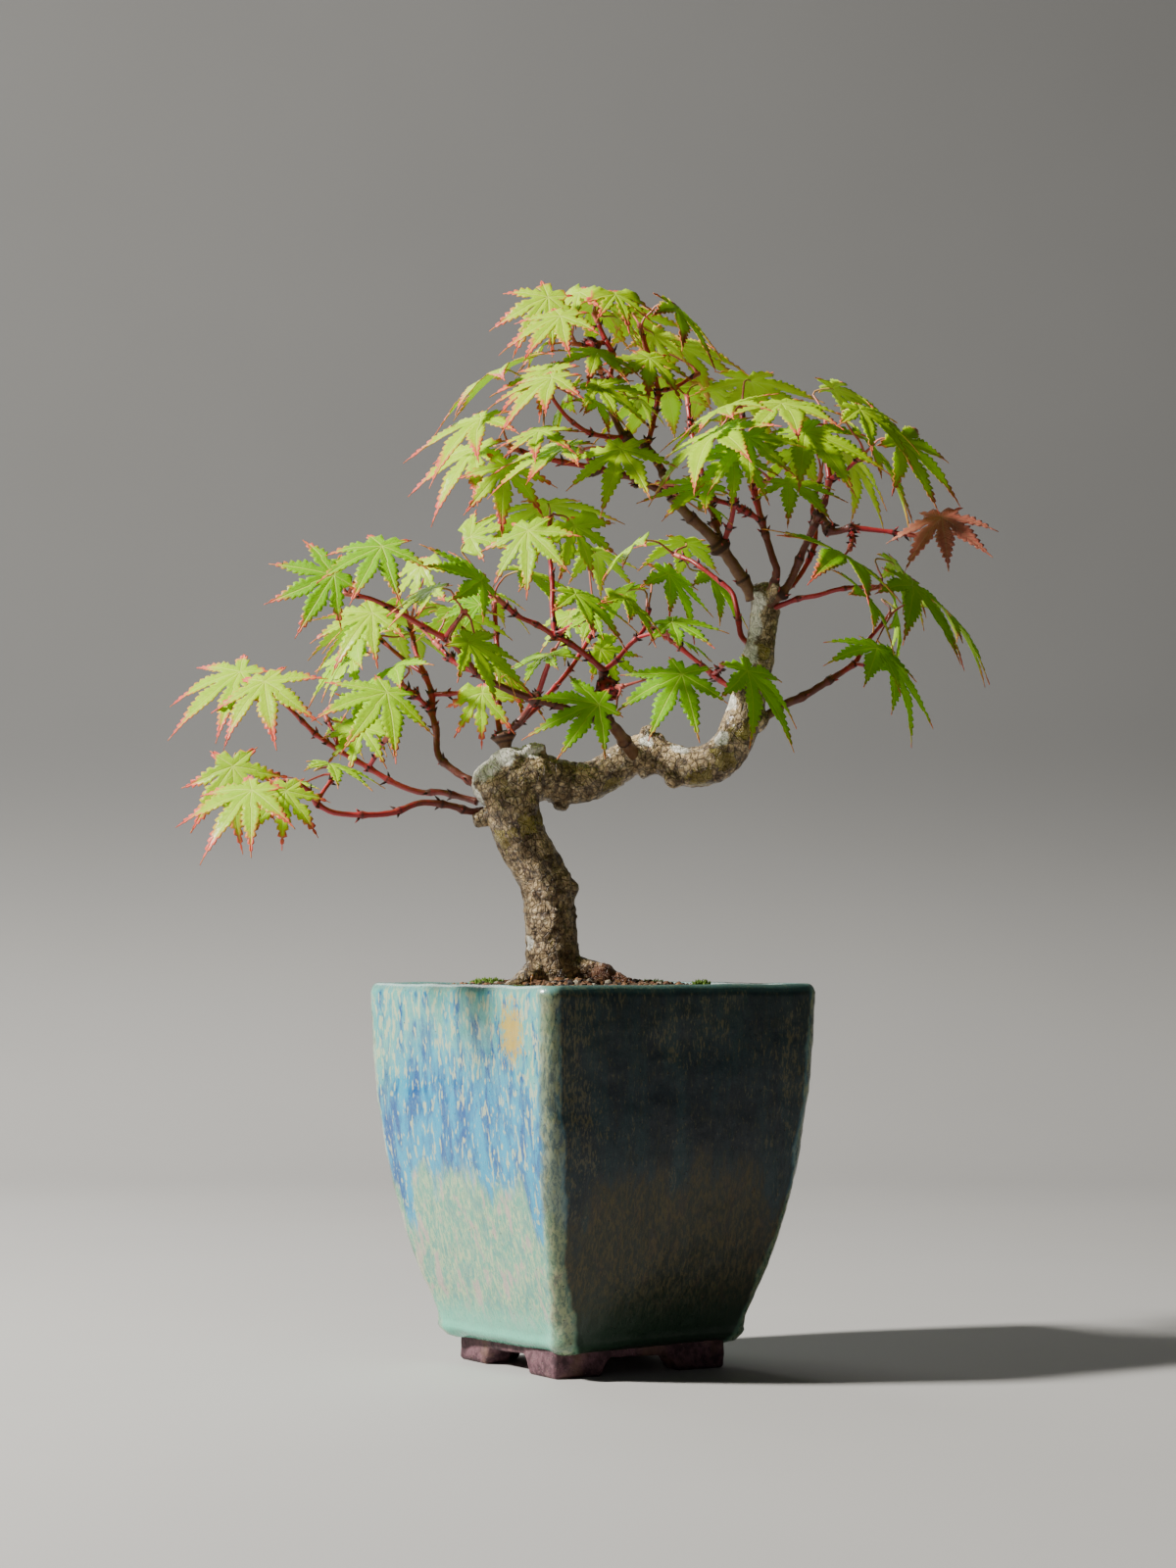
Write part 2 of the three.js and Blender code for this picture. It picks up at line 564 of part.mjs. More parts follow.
function archBetweenFeet() {
  const outline = new THREE.Shape([
    new THREE.Vector2(-ARCH_FOOT_WIDTH / 2, -CUT_PAST),
    new THREE.Vector2(ARCH_FOOT_WIDTH / 2, -CUT_PAST),
    new THREE.Vector2(ARCH_TOP_WIDTH / 2, ARCH_HEIGHT),
    new THREE.Vector2(-ARCH_TOP_WIDTH / 2, ARCH_HEIGHT),
  ]);
  const geometry = new THREE.ExtrudeGeometry(outline, { depth: 3 * FOOT_OUTER, bevelEnabled: false });
  geometry.translate(0, 0, -1.5 * FOOT_OUTER);
  geometry.rotateX(Math.PI / 2);
  return geometry;
}

function footRing() {
  const outside = solidOf(loft([
    squareRing(FOOT_OUTER - FOOT_BEVEL, FOOT_CORNER, 0),
    squareRing(FOOT_OUTER, FOOT_CORNER, FOOT_BEVEL),
    squareRing(FOOT_OUTER, FOOT_CORNER, FOOT_HEIGHT),
  ]));
  const inside = solidOf(loft([
    squareRing(FOOT_INNER, FOOT_CORNER, -CUT_PAST),
    squareRing(FOOT_INNER, FOOT_CORNER, FOOT_HEIGHT + CUT_PAST),
  ]));
  const alongY = archBetweenFeet();
  const alongX = archBetweenFeet().rotateZ(Math.PI / 2);
  return outside.subtract(inside).subtract(solidOf(alongY)).subtract(solidOf(alongX));
}

// The body, foot ring and the beads of glaze that ran down the four corners, fired as one.
function potSolid() {
  const outside = solidOf(loft(POT_PROFILE.map(([half, level]) => squareRing(half, POT_CORNER, level))));
  const inside = solidOf(loft(insideRings(FLOOR_TOP, SHOULDER_LEVEL + 3 * CUT_PAST, 0)));
  const drain = new THREE.CylinderGeometry(DRAIN_RADIUS, DRAIN_RADIUS, 2 * FLOOR_TOP, DRAIN_SIDES);
  drain.rotateX(Math.PI / 2);
  const drips = [[1, 1], [-1, 1], [-1, -1], [1, -1]].map(([x, y]) => {
    const drip = new THREE.OctahedronGeometry(DRIP_RADIUS, 1);
    drip.translate(DRIP_REACH * x, DRIP_REACH * y, DRIP_LEVEL);
    return solidOf(drip);
  });
  const foot = solidOf(surfaceOf(footRing()).rotateZ(FOOT_TURN));
  return joined([outside, ...drips, foot]).subtract(inside).subtract(solidOf(drain));
}

function trunkPieces(grow) {
  const route = TRUNK_LINE.map(([x, y, z]) => [x, y, z]);
  const thick = TRUNK_LINE.map(([, , , radius]) => radius + grow);
  const stem = solidOf(tube(route, thick, TRUNK_SIDES, TRUNK_STEP));
  const burls = BURLS.map(([x, y, z, radius]) => ball([x, y, z], radius + grow));
  const stubs = CUT_STUBS.map(([from, to, radius]) => {
    const taper = [radius + STUB_FLARE + grow, radius + grow];
    return solidOf(tube([from, to], taper, STUB_SIDES, STUB_STEP));
  });
  const roots = ROOTS.map((line) => {
    const taper = evenTaper(line.length, ROOT_THICK[0] + grow, ROOT_THICK[1] + grow);
    return solidOf(tube(line, taper, ROOT_SIDES, ROOT_STEP));
  });
  return joined([stem, ...burls, ...stubs, ...roots]);
}

function drainScreen() {
  const plate = new THREE.BoxGeometry(SCREEN_SIDE, SCREEN_SIDE, SCREEN_THICK);
  let screen = solidOf(plate);
  for (let row = 0; row < SCREEN_HOLES; row += 1) {
    for (let column = 0; column < SCREEN_HOLES; column += 1) {
      const hole = new THREE.BoxGeometry(SCREEN_HOLE, SCREEN_HOLE, 3 * SCREEN_THICK);
      const fromMiddle = (SCREEN_HOLES - 1) / 2;
      hole.translate((column - fromMiddle) * SCREEN_PITCH, (row - fromMiddle) * SCREEN_PITCH, 0);
      screen = screen.subtract(solidOf(hole));
    }
  }
  return screen;
}

// Soil: packed against the walls, mounded up to the trunk, with a hole for trunk and roots.
function soilSolid() {
  const bottom = FLOOR_TOP + SEAT_GAP;
  const rings = insideRings(bottom, SOIL_TOP_AT_WALL, SEAT_GAP);
  const halfAtTop = potHalfAt(SOIL_TOP_AT_WALL) - WALL - SEAT_GAP;
  const [trunkX, trunkY] = TRUNK_LINE[2];
  const peakX = trunkX * Math.cos(POT_TURN) + trunkY * Math.sin(POT_TURN);
  const peakY = trunkY * Math.cos(POT_TURN) - trunkX * Math.sin(POT_TURN);
  for (const [share, rise] of SOIL_MOUND) {
    const centre = [peakX * (1 - share), peakY * (1 - share)];
    rings.push(squareRing(halfAtTop * share, POT_CORNER * share, SOIL_TOP_AT_WALL + rise, centre));
  }
  const hole = solidOf(surfaceOf(trunkPieces(SOIL_GAP)).rotateZ(-POT_TURN));
  const recessSide = SCREEN_SIDE + 4 * SEAT_GAP;
  const recess = new THREE.BoxGeometry(recessSide, recessSide, 2 * (SCREEN_THICK + 2 * SEAT_GAP));
  recess.translate(0, 0, FLOOR_TOP + SEAT_GAP);
  return largestPart(solidOf(loft(rings)).subtract(hole).subtract(solidOf(recess)));
}

function twigTube(part) {
  const thick = evenTaper(part.route.length, part.thickStart, part.thickEnd);
  const [, sides] = TWIG_SIDES.find(([from]) => part.thickStart > from);
  return solidOf(tube(part.route, thick, sides, TWIG_STEP));
}

// One leaf blade in its own frame: the heart at the origin, the middle lobe along +X, the
// upper face to +Z. The lobes are folded up a little at the shoulders and arch down to the tips.
function leafOutline(draw, size) {
  const points = [];
  const length = LEAF_LENGTH * size * draw(...LEAF_SIZES);
  const add = (turn, reach, drop) => {
    const angle = THREE.MathUtils.degToRad(turn);
    const radius = reach * length;
    points.push([radius * Math.cos(angle), radius * Math.sin(angle), -drop * reach * radius]);
  };
  LOBES.forEach(([turn, share], lobe) => {
    const lean = turn + draw(-LOBE_LEAN, LOBE_LEAN);
    const reach = share * draw(...LOBE_REACHES);
    const drop = LEAF_ARCH * draw(...LEAF_ARCHES);
    if (turn > -100 && turn < 60) {
      add(lean - SHOULDER_TURN, SHOULDER_REACH * reach, drop);
    }
    add(lean, reach, drop);
    if (turn > -60 && turn < 100) {
      add(lean + SHOULDER_TURN, SHOULDER_REACH * reach, drop);
    }
    if (lobe < LOBES.length - 1) {
      const [nextTurn, nextShare] = LOBES[lobe + 1];
      add((turn + nextTurn) / 2, NOTCH_REACH * Math.min(share, nextShare) ** 0.5, LEAF_ARCH);
    }
  });
  return points;
}

// Blade and stalk as one closed body. The blade is a fan of triangles about its heart, alike
// on both faces. The stalk has four sides and leaves the blade at the notch in its base.
function leafGeometry(outline, thick, stalkStops) {
  const notch = -BASE_NOTCH_REACH * LEAF_LENGTH;
  const rim = [[notch, -STALK_THICK[0], 0], ...outline, [notch, STALK_THICK[0], 0]];
  const points = [[0, 0, thick / 2], [0, 0, -thick / 2]];
  for (const [x, y, z] of rim) {
    points.push([x, y, z + thick / 2]);
    points.push([x, y, z - thick / 2]);
  }
  const triangles = [];
  for (let side = 0; side < rim.length; side += 1) {
    const here = 2 + 2 * side;
    const next = 2 + 2 * ((side + 1) % rim.length);
    triangles.push([0, here, next]);
    triangles.push([1, next + 1, here + 1]);
    if (side < rim.length - 1) {
      triangles.push([here, here + 1, next + 1]);
      triangles.push([here, next + 1, next]);
    }
  }
  const last = 2 * rim.length;
  let ring = [2, 3, last + 1, last];
  stalkStops.forEach(({ centre, across, up, radius }) => {
    const first = points.length;
    for (const [side, level] of [[-1, 1], [-1, -1], [1, -1], [1, 1]]) {
      const corner = centre.clone();
      corner.addScaledVector(across, side * radius);
      corner.addScaledVector(up, level * radius);
      points.push(corner.toArray());
    }
    const nextRing = [first, first + 1, first + 2, first + 3];
    for (let side = 0; side < 4; side += 1) {
      const after = (side + 1) % 4;
      triangles.push([ring[side], nextRing[side], nextRing[after]]);
      triangles.push([ring[side], nextRing[after], ring[after]]);
    }
    ring = nextRing;
  });
  triangles.push([ring[0], ring[3], ring[2]]);
  triangles.push([ring[0], ring[2], ring[1]]);
  return geometryOf(points, triangles);
}

// A thicker and slightly larger blade, to keep room round a leaf.
function roomGeometry(outline) {
  const notch = -BASE_NOTCH_REACH * LEAF_LENGTH;
  const rim = [...outline, [notch, 0, 0]];
  const half = LEAF_THICK / 2 + LEAF_GAP;
  const points = [[0, 0, half], [0, 0, -half]];
  for (const [x, y, z] of rim) {
    const grown = 1 + LEAF_GAP / Math.hypot(x, y);
    points.push([x * grown, y * grown, z + half]);
    points.push([x * grown, y * grown, z - half]);
  }
  const triangles = [];
  for (let side = 0; side < rim.length; side += 1) {
    const here = 2 + 2 * side;
    const next = 2 + 2 * ((side + 1) % rim.length);
    triangles.push([0, here, next]);
    triangles.push([1, next + 1, here + 1]);
    triangles.push([here, here + 1, next + 1]);
    triangles.push([here, next + 1, next]);
  }
  return geometryOf(points, triangles);
}

function leafFrame(heading, droop, roll, spin) {
  const turn = THREE.MathUtils.degToRad(heading);
  const fall = THREE.MathUtils.degToRad(droop);
  const along = new THREE.Vector3(
    Math.cos(turn) * Math.cos(fall),
    Math.sin(turn) * Math.cos(fall),
    -Math.sin(fall),
  );
  const across = new THREE.Vector3(-Math.sin(turn), Math.cos(turn), 0);
  across.applyAxisAngle(along, THREE.MathUtils.degToRad(roll));
  const up = new THREE.Vector3().crossVectors(along, across);
  along.applyAxisAngle(up, THREE.MathUtils.degToRad(spin));
  across.applyAxisAngle(up, THREE.MathUtils.degToRad(spin));
  return { along, across, up };
}

function overlaps(solid, others) {
  const box = solid.boundingBox();
  return others.some((other) => {
    const apart = [0, 1, 2].some((axis) => (
      box.min[axis] > other.box.max[axis] || box.max[axis] < other.box.min[axis]));
    return !apart && !solid.intersect(other.solid).isEmpty();
  });
}

function obstacle(solid) {
  return { solid, box: solid.boundingBox() };
}

// A leaf with its stalk, turned and shifted in small seeded steps until it is clear of all
// that is there already.
function placedLeaf(start, place, draw, others, ownPieces) {
  const [spin = 0, size = 1] = place.slice(5);
  const outline = leafOutline(draw, size);
  for (let attempt = 0; attempt < LEAF_TRIES; attempt += 1) {
    const stray = attempt / LEAF_TRIES;
    const heart = new THREE.Vector3(
      place[0] + LEAF_STRAY[0] * stray * draw(-1, 1),
      place[1] + LEAF_STRAY[1] * stray * draw(-1, 1),
      place[2] + LEAF_STRAY[2] * stray * draw(-1, 1),
    );
    const heading = place[3] + HEADING_STRAY * stray * draw(-1, 1);
    const droop = place[4] + DROOP_STRAY * stray * draw(-1, 1);
    const { along, across, up } = leafFrame(heading, droop, draw(-LEAF_ROLL, LEAF_ROLL), spin);
    const frame = new THREE.Matrix4().makeBasis(along, across, up).setPosition(heart);
    const neck = heart.clone();
    neck.addScaledVector(along, -STALK_NECK * Math.cos(STALK_LIFT));
    neck.addScaledVector(up, -STALK_NECK * Math.sin(STALK_LIFT));
    const span = neck.distanceTo(start);
    const back = start.clone().sub(neck).normalize();
    const roomyBlade = solidOf(roomGeometry(outline).applyMatrix4(frame));
    const clearOfStart = start.clone().lerp(neck, Math.min(0.5, STALK_HIDDEN / span));
    const roomyStalk = solidOf(jointedTube([clearOfStart, neck], [STALK_ROOM, STALK_ROOM], 3));
    const free = !overlaps(roomyBlade, others)
      && !overlaps(roomyBlade, ownPieces)
      && !overlaps(roomyStalk, others)
      && !overlaps(roomyStalk, [obstacle(roomyBlade)]);
    if (free) {
      const inverse = frame.clone().invert();
      const lean = across.clone().addScaledVector(back, -across.dot(back)).normalize();
      const rise = new THREE.Vector3().crossVectors(lean, back);
      const stops = [[neck, STALK_THICK[1]], [start, STALK_THICK[2]]].map(([centre, radius]) => ({
        centre: centre.clone().applyMatrix4(inverse),
        across: lean.clone().transformDirection(inverse),
        up: rise.clone().transformDirection(inverse),
        radius,
      }));
      const leaf = solidOf(leafGeometry(outline, LEAF_THICK, stops).applyMatrix4(frame));
      if (!overlaps(leaf, others)) {
        return { solid: leaf, roomy: [obstacle(roomyBlade), obstacle(roomyStalk)] };
      }
    }
  }
  return null;
}

// The short three-sided stem at the end of a twig, which the stalks leave.
function shootStem(part) {
  const end = new THREE.Vector3(...part.route.at(-1));
  const along = end.clone().sub(new THREE.Vector3(...part.route.at(-2))).normalize();
  const base = end.clone().addScaledVector(along, SEAT_GAP);
  const tip = end.clone().addScaledVector(along, SHOOT_LENGTH);
  const solid = solidOf(jointedTube([base, tip], SHOOT_THICK, 3));
  return { part, base, tip, ...obstacle(solid) };
}

// The stem with its leaves on long stalks.
function leafyShoot(stem, seed, others) {
  const draw = seededDraw(seed);
  const pieces = [stem.solid];
  const own = [];
  stem.part.leaves.forEach((place, order) => {
    const share = THREE.MathUtils.lerp(...SHOOT_STARTS, order / stem.part.leaves.length);
    const start = stem.base.clone().lerp(stem.tip, share);
    const leaf = placedLeaf(start, place, draw, others, own);
    if (leaf) {
      pieces.push(leaf.solid);
      own.push(...leaf.roomy);
    }
  });
  return joined(pieces);
}

const potGroup = new THREE.Group();
potGroup.rotation.z = POT_TURN;
potGroup.add(meshOf('pot', potSolid(), COLOURS.glaze));
potGroup.add(meshOf('soil', soilSolid(), COLOURS.soil));
const screen = meshOf('drain_screen', drainScreen(), COLOURS.plastic);
screen.position.z = FLOOR_TOP + SEAT_GAP + SCREEN_THICK / 2;
potGroup.add(screen);

const tree = new THREE.Group();
const trunk = trunkPieces(0);
tree.add(meshOf('trunk', trunk, COLOURS.bark));
const standing = [obstacle(trunk)];
const trunkSpace = trunkPieces(SEAT_GAP);
for (const [limbName, twigs] of Object.entries(LIMBS)) {
  const wood = joined(twigs.map(twigTube));
  const limb = largestPart(wood.subtract(trunkSpace));
  tree.add(meshOf(`limb_${limbName}`, limb, COLOURS.coral));
  standing.push(obstacle(limb));
}
// The shoots at the front are leafed first, because the others can give way behind them.
const stems = Object.values(LIMBS).flat().filter((part) => part.leaves.length > 0).map(shootStem);
stems.sort((one, other) => one.tip.y - other.tip.y);
const leafy = [];
stems.forEach((stem, index) => {
  const others = [...standing, ...leafy, ...stems.filter((other) => other !== stem)];
  const solid = leafyShoot(stem, FIRST_SEED + SEED_STEP * index, others);
  const material = stem.part.name === 'bronze' ? COLOURS.bronze : COLOURS.leaf;
  tree.add(meshOf(`shoot_${stem.part.name}`, solid, material));
  leafy.push(obstacle(solid));
});

// The origin lies on the ground below the middle of the whole plant's box.
const bonsai = new THREE.Group();
bonsai.add(potGroup, tree);
const bounds = new THREE.Box3().setFromObject(bonsai, true);
bonsai.position.set(-(bounds.min.x + bounds.max.x) / 2, -(bounds.min.y + bounds.max.y) / 2, -bounds.min.z);

export default bonsai;
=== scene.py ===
import math
import random

import bmesh
import bpy
import numpy as np
from mathutils import Matrix, Vector, noise
from mathutils.kdtree import KDTree


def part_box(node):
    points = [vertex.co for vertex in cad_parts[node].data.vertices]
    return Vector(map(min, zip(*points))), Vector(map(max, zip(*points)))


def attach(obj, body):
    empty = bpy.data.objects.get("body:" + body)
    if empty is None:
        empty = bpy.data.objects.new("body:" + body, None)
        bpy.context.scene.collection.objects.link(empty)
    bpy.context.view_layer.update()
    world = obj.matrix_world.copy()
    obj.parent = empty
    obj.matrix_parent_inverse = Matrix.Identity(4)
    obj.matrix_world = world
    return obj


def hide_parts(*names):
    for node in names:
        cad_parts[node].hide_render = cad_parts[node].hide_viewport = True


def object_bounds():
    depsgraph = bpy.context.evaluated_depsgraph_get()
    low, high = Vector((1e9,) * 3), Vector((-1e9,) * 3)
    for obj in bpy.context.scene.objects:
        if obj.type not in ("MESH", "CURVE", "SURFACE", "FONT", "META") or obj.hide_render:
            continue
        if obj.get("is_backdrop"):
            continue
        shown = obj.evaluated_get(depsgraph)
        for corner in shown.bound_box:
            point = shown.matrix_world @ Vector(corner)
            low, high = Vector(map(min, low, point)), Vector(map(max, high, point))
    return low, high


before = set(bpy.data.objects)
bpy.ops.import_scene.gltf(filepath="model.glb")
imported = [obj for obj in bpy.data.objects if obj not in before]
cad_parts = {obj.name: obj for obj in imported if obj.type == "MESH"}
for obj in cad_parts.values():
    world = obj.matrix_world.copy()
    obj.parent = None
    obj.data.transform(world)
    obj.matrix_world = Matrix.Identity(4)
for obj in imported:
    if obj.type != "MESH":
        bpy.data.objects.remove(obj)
bpy.context.view_layer.update()


# The pot. A square of stoneware, pinched up by hand and glazed in runny blue over a
# seafoam ground. The glaze broke to a raised cream bead down each corner and pooled in thick
# drips at the foot.
MM = 0.001
pot_low, pot_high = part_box("pot")
POT_AT = Vector(((pot_low.x + pot_high.x) / 2, (pot_low.y + pot_high.y) / 2, 0))
POT_TURN = math.radians(34.8)
POT_PROFILE = [
    # half the width, height
    (39, 10), (42.2, 12.4), (43.8, 16), (46.6, 24), (50.2, 35), (54, 50), (57.9, 67),
    (60.6, 82), (62.6, 100), (64, 120), (65, 146.5),
]
POT_TOP = 150
POT_CORNER = 7
INNER_CORNER = 5
WALL = 6.3
FLOOR_FILLET = 3
POT_UNDERSIDE = 10
FLOOR_TOP = 17
DRAIN_RADIUS = 7
# half width and corner radius of the rings on the underside, the first three on the floor too
UNDERSIDE_RINGS = [(DRAIN_RADIUS, DRAIN_RADIUS), (12, 11), (26, POT_CORNER), (36, POT_CORNER)]
POT_LEVELS = 96
LIP_LEVELS = 9
LIP_RISE = 3.2
LIP_LEAN = 0.98
INSIDE_LEVELS = (144, 138, 120, 100, 67, 35, FLOOR_TOP + 3)
LIP_RELIEF = 0.55
INSIDE_RELIEF = 0.2
SIDE_POINTS = 62
CORNER_POINTS = 10
POT_WAVES = ((0.9, 34), (0.28, 11), (0.14, 4))
BEAD_WAVES = ((1.5, 15), (1.2, 4))
BEAD_HALF_WIDTH = 7.0
BEAD_HEIGHT = 0.8
BEAD_LUMPS = ((0.35, 14), (0.3, 3))
DRIP_LEVEL = 14.0
DRIP_TALL = 4.2
DRIP_WIDE = 5.5
DRIP_BULGE = 3.0
DRIP_SAG = 2.2
SAG_BELOW = 12
ROLL_LEVEL = 12.8
ROLL_TALL = 1.9
ROLL_BULGE = 0.7
ROLL_WAVE = (1.2, 12)
RIM_LEVEL = 140
RIM_WAVE = (0.5, 16)
RUN_FROM_CORNER = 10
RUN_WIDTH = 7
OCHRE_AT = (-40, 132)
OCHRE_REACH = (10, 15)
LEFT_FACE = -0.9


class Sock:
    """An output socket, which can be used in sums with numbers and with other sockets."""

    def __init__(self, finish, link):
        self.finish = finish
        self.link = link

    def sum(self, operation, first, second):
        return self.finish.node(
            "ShaderNodeMath", {"operation": operation}, {0: first, 1: second})

    def __add__(self, other):
        return self.sum("ADD", self, other)

    def __radd__(self, other):
        return self.sum("ADD", other, self)

    def __sub__(self, other):
        return self.sum("SUBTRACT", self, other)

    def __rsub__(self, other):
        return self.sum("SUBTRACT", other, self)

    def __mul__(self, other):
        return self.sum("MULTIPLY", self, other)

    def __rmul__(self, other):
        return self.sum("MULTIPLY", other, self)

    def larger(self, other):
        return self.sum("MAXIMUM", self, other)

    def folded(self, width):
        """Rises to the width and falls again, over and over."""
        return self.sum("PINGPONG", self, width)


class Finish:
    """A material, and the nodes that make it."""

    def __init__(self, name, **constants):
        self.material = bpy.data.materials.new(name)
        self.material.use_nodes = True
        self.tree = self.material.node_tree
        self.surface = self.tree.nodes["Principled BSDF"]
        for socket, value in constants.items():
            self.surface.inputs[socket.replace("_", " ")].default_value = value

    def node(self, kind, settings, sockets, output=0):
        made = self.tree.nodes.new(kind)
        for name, value in settings.items():
            if name == "stops":
                while len(made.color_ramp.elements) < len(value):
                    made.color_ramp.elements.new(0.5)
                for stop, (place, colour) in zip(made.color_ramp.elements, value):
                    stop.position = place
                    stop.color = (*colour, 1)
            else:
                setattr(made, name, value)
        for name, value in sockets.items():
            if isinstance(value, Sock):
                self.tree.links.new(value.link, made.inputs[name])
            else:
                made.inputs[name].default_value = value
        return Sock(self, made.outputs[output])

    def place(self, layer):
        """A position that was stored on the mesh, in millimetres."""
        return self.node("ShaderNodeAttribute", {"attribute_name": layer}, {}, "Vector")

    def level(self, layer):
        return self.node("ShaderNodeAttribute", {"attribute_name": layer}, {}, "Fac")

    def parts(self, vector):
        made = self.node("ShaderNodeSeparateXYZ", {}, {0: vector})
        outputs = made.link.node.outputs
        return [Sock(self, outputs[axis]) for axis in range(3)]

    def stretched(self, vector, scale):
        return self.node(
            "ShaderNodeVectorMath", {"operation": "MULTIPLY"}, {0: vector, 1: scale})

    def cloud(self, vector, scale, detail=3.0, rough=0.55, warp=0.0):
        return self.node("ShaderNodeTexNoise", {}, {
            "Vector": vector, "Scale": scale, "Detail": detail, "Roughness": rough,
            "Distortion": warp})

    def cells(self, vector, scale, feature="F1", spread=1.0):
        return self.node("ShaderNodeTexVoronoi", {"feature": feature}, {
            "Vector": vector, "Scale": scale, "Randomness": spread}, "Distance")

    def step(self, value, low, high):
        """0 below low, 1 above high, and a smooth rise between them."""
        return self.node("ShaderNodeMapRange", {"interpolation_type": "SMOOTHSTEP"}, {
            "Value": value, "From Min": low, "From Max": high})

    def mix(self, share, first, second, blend="MIX"):
        colours = [(*c, 1) if isinstance(c, tuple) else c for c in (first, second)]
        return self.node("ShaderNodeMix", {"data_type": "RGBA", "blend_type": blend}, {
            0: share, 6: colours[0], 7: colours[1]}, 2)

    def layers(self, tone, *coats):
        """A tone with colours laid over it, each where a value goes from low to high."""
        for value, low, high, strength, colour in coats:
            share = self.step(value, low, high)
            tone = self.mix(share if strength == 1 else share * strength, tone, colour)
        return tone

    def feed(self, socket, value):
        self.tree.links.new(value.link, self.surface.inputs[socket])

    def bump(self, height, depth_mm):
        made = self.node("ShaderNodeBump", {}, {
            "Height": height, "Distance": depth_mm * MM, "Strength": 1.0}, "Normal")
        self.feed("Normal", made)


def make_piece(name, points, faces, finishes, layers=(), face_finish=None, smooth=True):
    """A mesh object in the row frame, from points in metres."""
    mesh = bpy.data.meshes.new(name)
    mesh.from_pydata([tuple(p) for p in points], [], faces)
    for finish in finishes:
        mesh.materials.append(finish.material)
    if face_finish is not None:
        mesh.polygons.foreach_set("material_index", face_finish)
    for layer, values in dict(layers).items():
        values = np.asarray(values, np.float32)
        if values.ndim == 1:
            mesh.attributes.new(layer, "FLOAT", "POINT").data.foreach_set("value", values)
        else:
            made = mesh.attributes.new(layer, "FLOAT_VECTOR", "POINT")
            made.data.foreach_set("vector", values.ravel())
    mesh.polygons.foreach_set("use_smooth", [smooth] * len(mesh.polygons))
    mesh.update()
    piece = bpy.data.objects.new(name, mesh)
    bpy.context.scene.collection.objects.link(piece)
    return piece


def square_ring(half, corner):
    """Points and outward normals round a square with round corners, in millimetres."""
    points = []
    for quarter in range(4):
        turn = quarter * math.pi / 2
        centre = (half - corner) * math.sqrt(2)
        middle = Vector((math.cos(turn + math.pi / 4), math.sin(turn + math.pi / 4))) * centre
        for step in range(CORNER_POINTS):
            angle = turn + step / (CORNER_POINTS - 1) * math.pi / 2
            normal = Vector((math.cos(angle), math.sin(angle)))
            points.append((middle + normal * corner, normal))
        after = Vector((-middle.y, middle.x))
        normal = Vector((math.cos(turn + math.pi / 2), math.sin(turn + math.pi / 2)))
        start, end = middle + normal * corner, after + normal * corner
        for step in range(1, SIDE_POINTS + 1):
            points.append((start.lerp(end, step / (SIDE_POINTS + 1)), normal))
    return points


def from_pot(points):
    """Pot frame in millimetres to the row frame in metres."""
    turned = Matrix.Translation(POT_AT) @ Matrix.Rotation(POT_TURN, 4, "Z")
    return [turned @ (Vector(p) * MM) for p in points]


def ring_faces(rings, around, closed):
    """Faces between rings of points, closed into a loop of rings or capped at both ends."""
    faces = []
    for ring in range(rings if closed else rings - 1):
        low, high = ring * around, (ring + 1) % rings * around
        for side in range(around):
            after = (side + 1) % around
            faces.append((low + side, low + after, high + after, high + side))
    if not closed:
        end = (rings - 1) * around
        faces.append(tuple(range(around - 1, -1, -1)))
        faces.append(tuple(range(end, end + around)))
    return faces


def half_at(height):
    return np.interp(height, [z for _, z in POT_PROFILE], [h for h, _ in POT_PROFILE])


def wave(x, y, z, size):
    return noise.noise(Vector((x, y, z)) / size)


def relief(x, y, z, waves):
    """The sum of waves, each with its height and its size in millimetres."""
    return sum(height * wave(x, y, z, size) for height, size in waves)


def bell(gap, width):
    """1 where the gap is 0, and a smooth fall to nothing past the width."""
    return math.exp(-(gap / width) ** 2)


outer_z = np.linspace(POT_UNDERSIDE, POT_PROFILE[-1][1], POT_LEVELS)
outer_half = half_at(outer_z)
# the profile's corners are softened over seven levels, but not at its ends
soft = np.convolve(np.pad(outer_half, 3, mode="edge"), np.ones(7) / 7, mode="valid")
outer_half[4:-4] = soft[4:-4]
# each ring is half width, corner radius, height, and how much the hand-worked relief shows
sections = [(*ring, POT_UNDERSIDE, 0) for ring in UNDERSIDE_RINGS]
sections += [(h, POT_CORNER, z, 1) for h, z in zip(outer_half, outer_z)]
lip = WALL / 2
for turn in np.linspace(0.15, 1, LIP_LEVELS) * math.pi:
    sections.append((
        POT_PROFILE[-1][0] - lip + lip * math.cos(turn) * LIP_LEAN,
        POT_CORNER - lip + lip * math.cos(turn),
        POT_TOP - LIP_RISE + LIP_RISE * math.sin(turn), LIP_RELIEF))
inside_from = len(sections)
for z in INSIDE_LEVELS:
    sections.append((half_at(z) - WALL, INNER_CORNER, z, INSIDE_RELIEF))
sections.append((half_at(FLOOR_TOP) - WALL - FLOOR_FILLET, INNER_CORNER, FLOOR_TOP, 0))
sections += [(*ring, FLOOR_TOP, 0) for ring in reversed(UNDERSIDE_RINGS[:3])]
pot_points, pot_place, pot_edge, pot_sides = [], [], [], []
